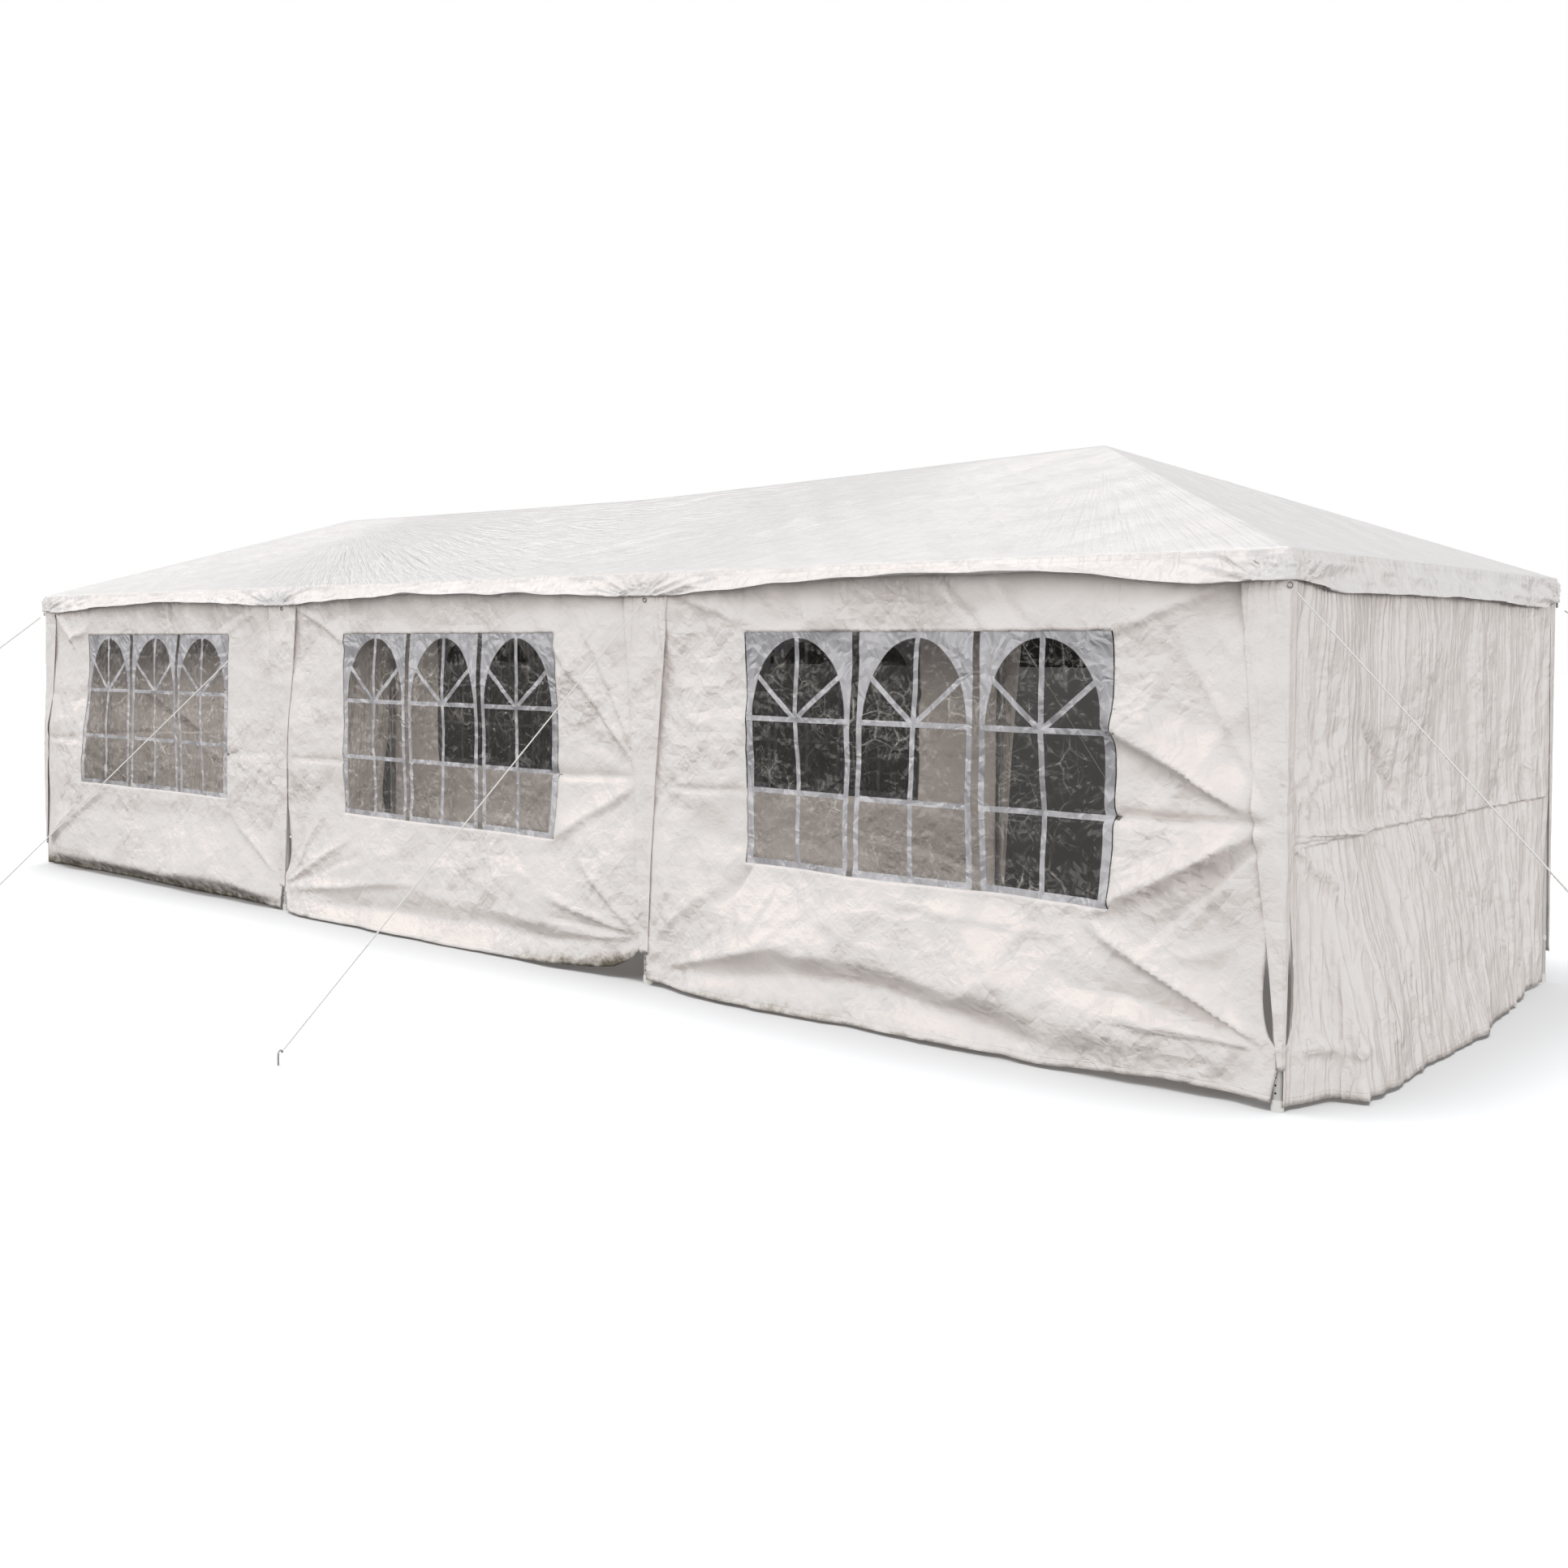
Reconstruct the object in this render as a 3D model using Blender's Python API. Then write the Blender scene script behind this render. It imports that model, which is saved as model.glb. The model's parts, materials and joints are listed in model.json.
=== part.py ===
"""Marquee tent: a three-bay party tent with a hipped roof, windowed side walls
and guy ropes.

World frame: X along the long side, the front wall at -Y, +Z up, and the level
ground at Z = 0. All sizes are in metres.
"""
import bpy
import bmesh
from math import atan2, cos, pi, radians, sin, sqrt, tan
from mathutils import Matrix, Vector

# Plan of the frame, measured at the leg axes
BAY = 3.0
BAY_COUNT = 3
DEPTH = 3.0
HALF_LENGTH = BAY * BAY_COUNT / 2
HALF_DEPTH = DEPTH / 2

# Tubes and their fittings
LEG_RADIUS = 0.019
FOOT_RADIUS = 0.022
FOOT_HEIGHT = 0.04
HEAD_RADIUS = 0.024
HEAD_HEIGHT = 0.036
TUBE_RADIUS = 0.016
SLEEVE_RADIUS = 0.018
SLEEVE_LENGTH = 0.12
TUBE_SIDES = 16

# Cloth, its layers and the clearance between pieces that touch
CLOTH = 0.003
CLEARANCE = 0.0003

# Heights above the ground. The ridge is highest at its ends and sags between them.
RIDGE_TOPS = (2.468, 2.452, 2.442, 2.478, 2.52)
EAVE_TOP = 1.91
VALANCE_BOTTOM = 1.80
WALL_TOP = 1.86
WALL_BOTTOM = 0.03

# Window opening in a wall, and how far its clear sheet laps behind the cloth
WINDOW_WIDTH = 1.78
WINDOW_BOTTOM = 0.625
WINDOW_TOP = 1.635
WINDOW_LAP = 0.015
WALL_END_GAP = 0.005
WALL_CORNER_REACH = 0.015

# The valance stands away from the walls in mid bay, and lifts there as it does
SIDE_FLARE = 0.06
SIDE_FLARE_LIFT = 0.025
END_FLARE = 0.03
END_FLARE_LIFT = -0.03

# The hem of an end wall spreads on the ground: places along the wall, from front
# to back, how far the hem stands out there, and its share of that at each height
HEM_PLACES = (-1.43, -1.24, -0.3, 0.6, 1.25)
HEM_SPREAD = (0.0, 0.17, 0.145, 0.10, 0.0)
HEM_HEIGHTS = (0.45, 0.9)
HEM_SHARES = (0.45, 0.0)

# Cover over each leg: half width of a middle cover, and arms of a corner cover
COVER_TOP = 1.895
COVER_MIDDLE = 0.93
COVER_BOTTOM = 0.145
MIDDLE_HALF_WIDTHS = (0.155, 0.068, 0.025)
CORNER_LONG_ARMS = (0.18, 0.10, 0.02)
CORNER_SHORT_ARMS = (0.08, 0.05, 0.02)

# Guy ropes: a metal eyelet on the leg cover, a taut rope, and a ground peg
EYELET_HEIGHT = 1.785
EYELET_RADIUS = 0.012
EYELET_THICKNESS = 0.006
ROPE_RADIUS = 0.003
PEG_RADIUS = 0.005
PEG_HEIGHT = 0.06
PEG_GRIP_HEIGHT = 0.035
MIDDLE_PEG_REACH = 1.99
MIDDLE_PEG_SHIFT = 0.05
CORNER_PEG_REACH = 2.55
CORNER_PEG_ANGLE = radians(33)

# Layers of cloth outward from the leg axis, and the roof planes
WALL_INNER = FOOT_RADIUS + CLEARANCE
COVER_INNER = WALL_INNER + CLOTH + CLEARANCE
VALANCE_INNER = COVER_INNER + CLOTH + CLEARANCE
ROOF_REACH = VALANCE_INNER + CLOTH
ROOF_TAN = (max(RIDGE_TOPS) - EAVE_TOP) / (HALF_DEPTH + ROOF_REACH)
FLATTEST_TAN = (min(RIDGE_TOPS) - EAVE_TOP) / (HALF_DEPTH + ROOF_REACH)
ROOF_COS = 1 / sqrt(1 + ROOF_TAN ** 2)
ROOF_DROP = CLOTH / ROOF_COS
TUBE_DROP = ROOF_DROP + (SLEEVE_RADIUS + CLEARANCE) / ROOF_COS
EAVE_AXIS = EAVE_TOP + ROOF_REACH * FLATTEST_TAN - TUBE_DROP
RIDGE_HALF = HALF_LENGTH - HALF_DEPTH
RIDGE_PLACES = tuple(RIDGE_HALF * step / 2 for step in (-2, -1, 0, 1, 2))
LEG_TOP = EAVE_TOP - 0.002


def clear_scene():
    """Empty the scene without closing the file that the script runs from."""
    for item in list(bpy.data.objects):
        bpy.data.objects.remove(item, do_unlink=True)
    for mesh in list(bpy.data.meshes):
        bpy.data.meshes.remove(mesh)


def make_material(name, colour, roughness, metallic=0.0, alpha=1.0):
    """A plain surface: colour, roughness, metal or not, and how clear it is."""
    material = bpy.data.materials.new(name)
    material.use_nodes = True
    shader = material.node_tree.nodes["Principled BSDF"]
    shader.inputs["Base Color"].default_value = (*colour, 1.0)
    shader.inputs["Roughness"].default_value = roughness
    shader.inputs["Metallic"].default_value = metallic
    shader.inputs["Alpha"].default_value = alpha
    return material


def add_object(name, mesh_data, material, smooth=False):
    """Turn a finished bmesh into a named object with its normals facing out."""
    bmesh.ops.recalc_face_normals(mesh_data, faces=mesh_data.faces)
    mesh = bpy.data.meshes.new(name)
    mesh_data.to_mesh(mesh)
    mesh_data.free()
    mesh.materials.append(material)
    if smooth:
        mesh.shade_smooth()
        mesh.set_sharp_from_angle(angle=radians(35))
    item = bpy.data.objects.new(name, mesh)
    bpy.context.collection.objects.link(item)
    return item


def turned(name, profile, start, end, material, sides=TUBE_SIDES):
    """A rod turned about the line from start to end.

    The profile is a list of (distance along the line, radius) pairs, and flat
    discs close both of its ends.
    """
    direction = (end - start).normalized()
    turn = Vector((0, 0, 1)).rotation_difference(direction).to_matrix()
    mesh_data = bmesh.new()
    rings = []
    for along, radius in profile:
        ring = []
        for step in range(sides):
            angle = 2 * pi * step / sides
            local = Vector((radius * cos(angle), radius * sin(angle), along))
            ring.append(mesh_data.verts.new(start + turn @ local))
        rings.append(ring)
    for lower, upper in zip(rings, rings[1:]):
        for step in range(sides):
            after = (step + 1) % sides
            mesh_data.faces.new((lower[step], lower[after], upper[after], upper[step]))
    mesh_data.faces.new(rings[0])
    mesh_data.faces.new(rings[-1])
    return add_object(name, mesh_data, material, smooth=True)


def sleeved_tube(name, start, end, material, sleeves=(SLEEVE_LENGTH, SLEEVE_LENGTH)):
    """A tube between two points with a wider sleeve at each end."""
    length = (end - start).length
    first, last = sleeves
    profile = []
    if first > 0:
        profile += [(0.0, SLEEVE_RADIUS), (first, SLEEVE_RADIUS)]
    profile.append((first, TUBE_RADIUS))
    profile.append((length - last, TUBE_RADIUS))
    if last > 0:
        profile += [(length - last, SLEEVE_RADIUS), (length, SLEEVE_RADIUS)]
    return turned(name, profile, start, end, material)


def fuse(base, others):
    """Unite other solids with the base, so that they are one closed body."""
    for other in others:
        union = base.modifiers.new("fuse_" + other.name, "BOOLEAN")
        union.operation = "UNION"
        union.solver = "EXACT"
        union.object = other
        other.hide_render = True
        other.display_type = "WIRE"
    return base


def closed_sheet(name, across, up, place, material, is_open=None):
    """A thin closed sheet over a grid of across and up values.

    The function place(a, b, face) gives the point on face 0, the inner one, or
    on face 1, the outer one. Cells for which is_open(i, j) is true are left out,
    and their edges are closed like the outer edges.
    """
    mesh_data = bmesh.new()
    points = {}

    def vertex(i, j, face):
        if (i, j, face) not in points:
            points[(i, j, face)] = mesh_data.verts.new(place(across[i], up[j], face))
        return points[(i, j, face)]

    edges = {}
    for i in range(len(across) - 1):
        for j in range(len(up) - 1):
            if is_open and is_open(i, j):
                continue
            corners = [(i, j), (i + 1, j), (i + 1, j + 1), (i, j + 1)]
            for half in (corners[:3], corners[2:] + corners[:1]):
                mesh_data.faces.new([vertex(*corner, 1) for corner in half])
                mesh_data.faces.new([vertex(*corner, 0) for corner in reversed(half)])
            for first, second in zip(corners, corners[1:] + corners[:1]):
                key = frozenset((first, second))
                edges[key] = None if key in edges else (first, second)
    for pair in edges.values():
        if pair:
            first, second = pair
            mesh_data.faces.new((vertex(*first, 1), vertex(*first, 0),
                                 vertex(*second, 0), vertex(*second, 1)))
    return add_object(name, mesh_data, material)


def leg_places():
    """Name, axis position and whether it is a corner, for each of the legs."""
    for row, y in (("front", -HALF_DEPTH), ("back", HALF_DEPTH)):
        for number in range(BAY_COUNT + 1):
            x = -HALF_LENGTH + BAY * number
            yield f"{row}_{number + 1}", x, y, number in (0, BAY_COUNT)


def build_legs(material):
    """Steel legs, each with a plastic foot cap and a wider head fitting."""
    head_bottom = LEG_TOP - HEAD_HEIGHT
    profile = [(0.0, FOOT_RADIUS), (FOOT_HEIGHT, FOOT_RADIUS),
               (FOOT_HEIGHT, LEG_RADIUS), (head_bottom, LEG_RADIUS),
               (head_bottom, HEAD_RADIUS), (LEG_TOP, HEAD_RADIUS)]
    for label, x, y, _ in leg_places():
        turned("leg_" + label, profile, Vector((x, y, 0)), Vector((x, y, LEG_TOP)),
               material)


def build_eave_rails(material):
    """Level rails between the leg heads, along both long sides and both ends."""
    inset = HEAD_RADIUS + CLEARANCE
    for row, y in (("front", -HALF_DEPTH), ("back", HALF_DEPTH)):
        for number in range(BAY_COUNT):
            left = -HALF_LENGTH + BAY * number
            start = Vector((left + inset, y, EAVE_AXIS))
            end = Vector((left + BAY - inset, y, EAVE_AXIS))
            sleeved_tube(f"eave_rail_{row}_{number + 1}", start, end, material)
    for end_name, x in (("left", -HALF_LENGTH), ("right", HALF_LENGTH)):
        start = Vector((x, -HALF_DEPTH + inset, EAVE_AXIS))
        end = Vector((x, HALF_DEPTH - inset, EAVE_AXIS))
        sleeved_tube("eave_rail_" + end_name, start, end, material)


def sagging_pole(name, axis, material):
    """One pole through the points of its axis, with an upright ring at each."""
    mesh_data = bmesh.new()
    rings = []
    for point in axis:
        ring = []
        for step in range(TUBE_SIDES):
            angle = 2 * pi * step / TUBE_SIDES
            ring.append(mesh_data.verts.new(
                point + SLEEVE_RADIUS * Vector((0, cos(angle), sin(angle)))))
        rings.append(ring)
    for left, right in zip(rings, rings[1:]):
        for step in range(TUBE_SIDES):
            after = (step + 1) % TUBE_SIDES
            mesh_data.faces.new((left[step], left[after], right[after], right[step]))
    mesh_data.faces.new(rings[0])
    mesh_data.faces.new(rings[-1])
    return add_object(name, mesh_data, material, smooth=True)


def build_roof_tubes(material):
    """The ridge pole with its eight sockets, the rafters and the hip rafters.

    A socket is a short stub fused to the ridge pole. The tube that it holds
    ends face to face with it, and starts just clear of the leg's head.
    """
    rafter_start = 0.028
    hip_start = 0.055
    socket = SLEEVE_LENGTH
    axis = [Vector((x, 0, top - TUBE_DROP)) for x, top in zip(RIDGE_PLACES, RIDGE_TOPS)]
    ridge = sagging_pole("ridge_pole", axis, material)
    stubs = []

    def slanted(name, foot, top, clear):
        direction = (top - foot).normalized()
        stub_end = top - direction * socket
        stub = turned("socket_of_" + name, [(0.0, SLEEVE_RADIUS), (socket, SLEEVE_RADIUS)],
                      stub_end, top, material)
        stubs.append(stub)
        sleeved_tube(name, foot + direction * clear, stub_end - direction * CLEARANCE,
                     material)

    for row, y in (("front", -HALF_DEPTH), ("back", HALF_DEPTH)):
        for number in range(1, BAY_COUNT):
            x = -HALF_LENGTH + BAY * number
            slanted(f"rafter_{row}_{number + 1}", Vector((x, y, EAVE_AXIS)),
                    axis[2 * number - 1], rafter_start)
        for end_name, sign, top in (("left", -1, axis[0]), ("right", 1, axis[-1])):
            slanted(f"hip_rafter_{row}_{end_name}",
                    Vector((sign * HALF_LENGTH, y, EAVE_AXIS)), top, hip_start)
    fuse(ridge, stubs)


def eave_stations():
    """Corners, mid bays and legs round the eaves, from the front left corner.

    Each is its place on the leg axes, the signs that carry it out to the cloth,
    and how far the valance flares and lifts there.
    """
    stations = []
    for side in (-1, 1):
        for step in range(2 * BAY_COUNT + 1):
            x = side * (HALF_LENGTH - BAY / 2 * step)
            out_x = {0: side, 2 * BAY_COUNT: -side}.get(step, 0)
            flare, lift = (SIDE_FLARE, SIDE_FLARE_LIFT) if step % 2 else (0.0, 0.0)
            stations.append((x, side * HALF_DEPTH, out_x, side, flare, lift))
        stations.append((-side * HALF_LENGTH, 0.0, -side, 0, END_FLARE, END_FLARE_LIFT))
    return stations


def build_roof_cover(material):
    """One sewn cover: slopes to a sagging ridge, and a valance round all sides."""
    mesh_data = bmesh.new()
    stations = eave_stations()
    count = len(stations)

    def highest_point_over(k):
        middle = (stations[k][0] + stations[(k + 1) % count][0]) / 2
        if abs(middle) > BAY / 2:
            return 0 if middle < 0 else len(RIDGE_TOPS) - 1
        return 1 if middle < 0 else len(RIDGE_TOPS) - 2

    def shell(reach, drop):
        eave_z = EAVE_TOP + (ROOF_REACH - reach) * ROOF_TAN - drop
        low, eave = [], []
        for x, y, out_x, out_y, flare, lift in stations:
            stand_out = reach + flare
            low.append(mesh_data.verts.new((x + out_x * stand_out, y + out_y * stand_out,
                                            VALANCE_BOTTOM + lift)))
            eave.append(mesh_data.verts.new((x + out_x * reach, y + out_y * reach, eave_z)))
        ridge = [mesh_data.verts.new((x, 0, top - drop))
                 for x, top in zip(RIDGE_PLACES, RIDGE_TOPS)]
        for k in range(count):
            after = (k + 1) % count
            mesh_data.faces.new((low[k], low[after], eave[after]))
            mesh_data.faces.new((low[k], eave[after], eave[k]))
            apex = highest_point_over(k)
            goal = highest_point_over(after)
            mesh_data.faces.new((eave[k], eave[after], ridge[apex]))
            while apex != goal:
                following = apex + (1 if goal > apex else -1)
                mesh_data.faces.new((eave[after], ridge[following], ridge[apex]))
                apex = following
        return low

    outer = shell(ROOF_REACH, 0.0)
    inner = shell(VALANCE_INNER, ROOF_DROP)
    for k in range(count):
        after = (k + 1) % count
        mesh_data.faces.new((outer[k], outer[after], inner[after]))
        mesh_data.faces.new((outer[k], inner[after], inner[k]))
    add_object("roof_cover", mesh_data, material)


def build_leg_covers(material):
    """Tapered flaps that hang from the roof over the outside of each leg."""
    heights = (COVER_BOTTOM, COVER_MIDDLE, COVER_TOP)
    halves = dict(zip(reversed(heights), MIDDLE_HALF_WIDTHS))
    long_arms = dict(zip(reversed(heights), CORNER_LONG_ARMS))
    short_arms = dict(zip(reversed(heights), CORNER_SHORT_ARMS))
    for label, x, y, is_corner in leg_places():
        side = -1 if y < 0 else 1
        if is_corner:
            end = -1 if x < 0 else 1

            def place(u, z, face, x=x, y=y, side=side, end=end):
                reach = COVER_INNER + CLOTH * face
                along_x = long_arms[z] if u < 0 else 0.0
                along_y = short_arms[z] if u > 0 else 0.0
                return (x + end * (reach - along_x), y + side * (reach - along_y), z)

            closed_sheet("leg_cover_" + label, (-1, 0, 1), heights, place, material)
        else:

            def place(u, z, face, x=x, y=y, side=side):
                return (x + u * halves[z], y + side * (COVER_INNER + CLOTH * face), z)

            closed_sheet("leg_cover_" + label, (-1, 1), heights, place, material)


def build_walls(cloth_material, clear_material):
    """Side walls with a window each, end walls whose hems spread, an open bay."""
    half_window = WINDOW_WIDTH / 2
    window_heights = (WALL_BOTTOM, WINDOW_BOTTOM, WINDOW_TOP, WALL_TOP)
    for row, side, count in (("front", -1, BAY_COUNT), ("back", 1, BAY_COUNT - 1)):
        for number in range(count):
            centre = -HALF_LENGTH + BAY * (number + 0.5)
            left = centre - BAY / 2 + WALL_END_GAP
            right = centre + BAY / 2 - WALL_END_GAP
            if number == 0:
                left -= WALL_END_GAP + WALL_CORNER_REACH
            if number == BAY_COUNT - 1:
                right += WALL_END_GAP + WALL_CORNER_REACH

            def on_wall(x, z, face, side=side):
                return (x, side * (HALF_DEPTH + WALL_INNER + CLOTH * face), z)

            def behind_wall(x, z, face, side=side):
                return (x, side * (HALF_DEPTH + WALL_INNER - CLEARANCE
                                   - CLOTH * (1 - face)), z)

            across = (left, centre - half_window, centre + half_window, right)
            closed_sheet(f"wall_{row}_{number + 1}", across, window_heights, on_wall,
                         cloth_material, is_open=lambda i, j: i == 1 and j == 1)
            lapped_across = (centre - half_window - WINDOW_LAP,
                             centre + half_window + WINDOW_LAP)
            lapped_up = (WINDOW_BOTTOM - WINDOW_LAP, WINDOW_TOP + WINDOW_LAP)
            closed_sheet(f"window_{row}_{number + 1}", lapped_across, lapped_up,
                         behind_wall, clear_material)
    reach = HALF_DEPTH + WALL_CORNER_REACH
    places = (-reach, *HEM_PLACES, reach)
    heights = (WALL_BOTTOM, *HEM_HEIGHTS, WALL_TOP)
    spread = dict(zip(HEM_PLACES, HEM_SPREAD))
    share = {WALL_BOTTOM: 1.0, **dict(zip(HEM_HEIGHTS, HEM_SHARES))}
    for name, end in (("left", -1), ("right", 1)):

        def on_end(y, z, face, end=end):
            stand_out = spread.get(y, 0.0) * share.get(z, 0.0)
            return (end * (HALF_LENGTH + WALL_INNER + CLOTH * face + stand_out), y, z)

        closed_sheet("wall_" + name, places, heights, on_end, cloth_material)


def build_guy_ropes(material):
    """Taut ropes, each fused with its eyelet and the peg's top above the ground."""
    face = COVER_INNER + CLOTH + CLEARANCE
    for label, x, y, is_corner in leg_places():
        side = -1 if y < 0 else 1
        end = -1 if x < 0 else 1
        if is_corner:
            outward = Vector((end * cos(CORNER_PEG_ANGLE), side * sin(CORNER_PEG_ANGLE), 0))
            seat = Vector((x + end * face, y + side * face, EYELET_HEIGHT))
            foot = seat + outward * CORNER_PEG_REACH
        else:
            outward = Vector((0, side, 0))
            seat = Vector((x, y + side * face, EYELET_HEIGHT))
            foot = seat + outward * MIDDLE_PEG_REACH + Vector((end * MIDDLE_PEG_SHIFT, 0, 0))
        foot.z = 0.0
        rim = [(0.0, EYELET_RADIUS), (EYELET_THICKNESS, EYELET_RADIUS)]
        eyelet = turned("eyelet_" + label, rim, seat, seat + outward * EYELET_THICKNESS,
                        material, sides=12)
        peg = turned("peg_" + label, [(0.0, PEG_RADIUS), (PEG_HEIGHT, PEG_RADIUS)],
                     foot, foot + Vector((0, 0, PEG_HEIGHT)), material, sides=12)
        start = seat + outward * (EYELET_THICKNESS - ROPE_RADIUS / 2)
        grip = foot + Vector((0, 0, PEG_GRIP_HEIGHT))
        rope = turned("guy_rope_" + label,
                      [(0.0, ROPE_RADIUS), ((grip - start).length, ROPE_RADIUS)],
                      start, grip, material, sides=8)
        fuse(rope, [eyelet, peg])


def main():
    clear_scene()
    steel = make_material("grey_painted_steel", (0.62, 0.62, 0.62), 0.45, metallic=0.6)
    cloth = make_material("white_woven_cover", (0.80, 0.78, 0.76), 0.60)
    clear = make_material("clear_window_sheet", (0.42, 0.40, 0.38), 0.12, alpha=0.45)
    cord = make_material("white_cord", (0.85, 0.85, 0.83), 0.70)
    build_legs(steel)
    build_eave_rails(steel)
    build_roof_tubes(steel)
    build_roof_cover(cloth)
    build_leg_covers(cloth)
    build_walls(cloth, clear)
    build_guy_ropes(cord)


main()
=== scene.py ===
"""Marquee tent: the finishes, cloth, windows and ropes of a white party tent.

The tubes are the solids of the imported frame. All cloth is worked out here as
surfaces in metres, with X along the long side and Z up from the ground.
"""
import json
from math import cos, pi, radians, sin

import bmesh
import bpy
import numpy as np
from mathutils import Matrix, Vector

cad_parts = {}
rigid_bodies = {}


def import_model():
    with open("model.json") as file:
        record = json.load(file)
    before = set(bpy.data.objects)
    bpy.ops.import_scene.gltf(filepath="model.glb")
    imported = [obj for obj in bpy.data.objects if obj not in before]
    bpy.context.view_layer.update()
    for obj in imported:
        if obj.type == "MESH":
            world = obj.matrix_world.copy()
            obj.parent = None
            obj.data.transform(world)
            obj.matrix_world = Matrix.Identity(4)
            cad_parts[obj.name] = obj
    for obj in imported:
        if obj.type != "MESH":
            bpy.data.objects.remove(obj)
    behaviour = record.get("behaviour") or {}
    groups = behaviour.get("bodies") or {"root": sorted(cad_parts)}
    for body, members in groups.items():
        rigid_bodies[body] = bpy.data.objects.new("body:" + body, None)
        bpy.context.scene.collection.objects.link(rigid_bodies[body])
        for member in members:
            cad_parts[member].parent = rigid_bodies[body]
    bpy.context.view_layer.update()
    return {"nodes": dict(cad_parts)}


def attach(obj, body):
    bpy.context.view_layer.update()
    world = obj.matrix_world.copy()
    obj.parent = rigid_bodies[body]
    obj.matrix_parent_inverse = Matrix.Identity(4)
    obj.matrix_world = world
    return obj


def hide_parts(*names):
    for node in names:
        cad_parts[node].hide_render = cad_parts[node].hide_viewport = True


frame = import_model()


# Frame of the tent: thin steel tubes, powder coated pale grey, that slip into
# wider sleeves and corner fittings. Every leg stands in a pale plastic cap. The
# coat is a little uneven, with faint scuffs and grey dust low on the legs.
bay = 3.0
half_length = 4.5
half_depth = 1.5
foot_height = 0.04
tube_grey = (0.56, 0.57, 0.57, 1)
scuffed_grey = (0.36, 0.36, 0.35, 1)
cap_white = (0.74, 0.74, 0.72, 1)


class Value:
    """A number, colour or direction in a finish, with the sums done on it."""

    def __init__(self, tree, socket):
        self.tree = tree
        self.socket = socket

    def node(self, kind, settings=None, sockets=None, output=0):
        """One more node: its settings, then the values or links of its sockets."""
        added = self.tree.nodes.new("ShaderNode" + kind)
        for name, setting in (settings or {}).items():
            setattr(added, name, setting)
        for name, value in (sockets or {}).items():
            if isinstance(value, Value):
                self.tree.links.new(value.socket, added.inputs[name])
            else:
                added.inputs[name].default_value = value
        return Value(self.tree, added.outputs[output])

    def math(self, operation, *others):
        return self.node("Math", {"operation": operation}, dict(enumerate((self, *others))))

    def __add__(self, other):
        return self.math("ADD", other)

    def __mul__(self, other):
        return self.math("MULTIPLY", other)

    def __sub__(self, other):
        return self.math("SUBTRACT", other)

    def __rsub__(self, other):
        return self.math("MULTIPLY_ADD", -1.0, other)

    def __truediv__(self, other):
        return self.math("DIVIDE", other)

    __radd__ = __add__
    __rmul__ = __mul__

    def __abs__(self):
        return self.math("ABSOLUTE")

    def rise(self, low, high):
        """Nothing below low, one above high, and smooth between them."""
        return self.node("MapRange", {"interpolation_type": "SMOOTHSTEP"},
                         {"Value": self, "From Min": low, "From Max": high})

    def parts(self):
        """The three parts of a place or direction."""
        split = self.node("SeparateXYZ", None, {0: self})
        outputs = split.socket.node.outputs
        return [Value(self.tree, outputs[k]) for k in range(3)]

    def scaled(self, x, y, z):
        return self.node("VectorMath", {"operation": "MULTIPLY"}, {0: self, 1: (x, y, z)})

    def noise(self, scale, detail=2.0, roughness=0.5, kind="FBM"):
        return self.node("TexNoise", {"noise_type": kind},
                         {"Vector": self, "Scale": scale, "Detail": detail,
                          "Roughness": roughness})

    def blend(self, none, full):
        """A colour between none and full, by this share."""
        return self.node("Mix", {"data_type": "RGBA"}, {0: self, 6: none, 7: full}, 2)

    def bump(self, distance):
        return self.node("Bump", None, {"Height": self, "Distance": distance})

    def pulled(self, reach):
        """A place drawn out of line by soft noise."""
        soft = self.node("TexNoise", None, {"Vector": self, "Scale": 4.0}, 1)
        return self.node("VectorMath", {"operation": "MULTIPLY_ADD"},
                         {0: soft, 1: (reach, reach, reach), 2: self})


def new_finish(name, roughness=0.5, metallic=0.0):
    """A material with one shader, and the place of a point on the piece."""
    material = bpy.data.materials.new(name)
    material.use_nodes = True
    tree = material.node_tree
    shader = tree.nodes["Principled BSDF"]
    shader.inputs["Roughness"].default_value = roughness
    shader.inputs["Metallic"].default_value = metallic
    place = Value(tree, tree.nodes.new("ShaderNodeTexCoord").outputs["Object"])
    return material, shader, place


def feed(shader, values):
    for name, value in values.items():
        value.tree.links.new(value.socket, shader.inputs[name])


powder_coat, shader, place = new_finish("powder_coated_tube")
height = place.parts()[2]
scuffs = place.scaled(1, 1, 0.25).noise(60, 4, 0.65).rise(0.56, 0.72)
dust = 1 - (height + place.noise(18, 2) * 0.2).rise(0.05, 0.5)
cap = 1 - height.rise(foot_height - 0.0005, foot_height + 0.0005)
coat = (scuffs * 0.35 + dust * 0.3).blend(tube_grey, scuffed_grey)
feed(shader, {
    "Base Color": cap.blend(coat, cap_white),
    "Roughness": 0.34 + scuffs * 0.2 + cap * 0.12,
    "Normal": place.noise(420, 2).bump(0.0002),
})
for name, node in frame["nodes"].items():
    if name.startswith(("leg_front", "leg_back", "eave", "ridge", "rafter", "hip")):
        for slot in node.material_slots:
            slot.material = powder_coat


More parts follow.
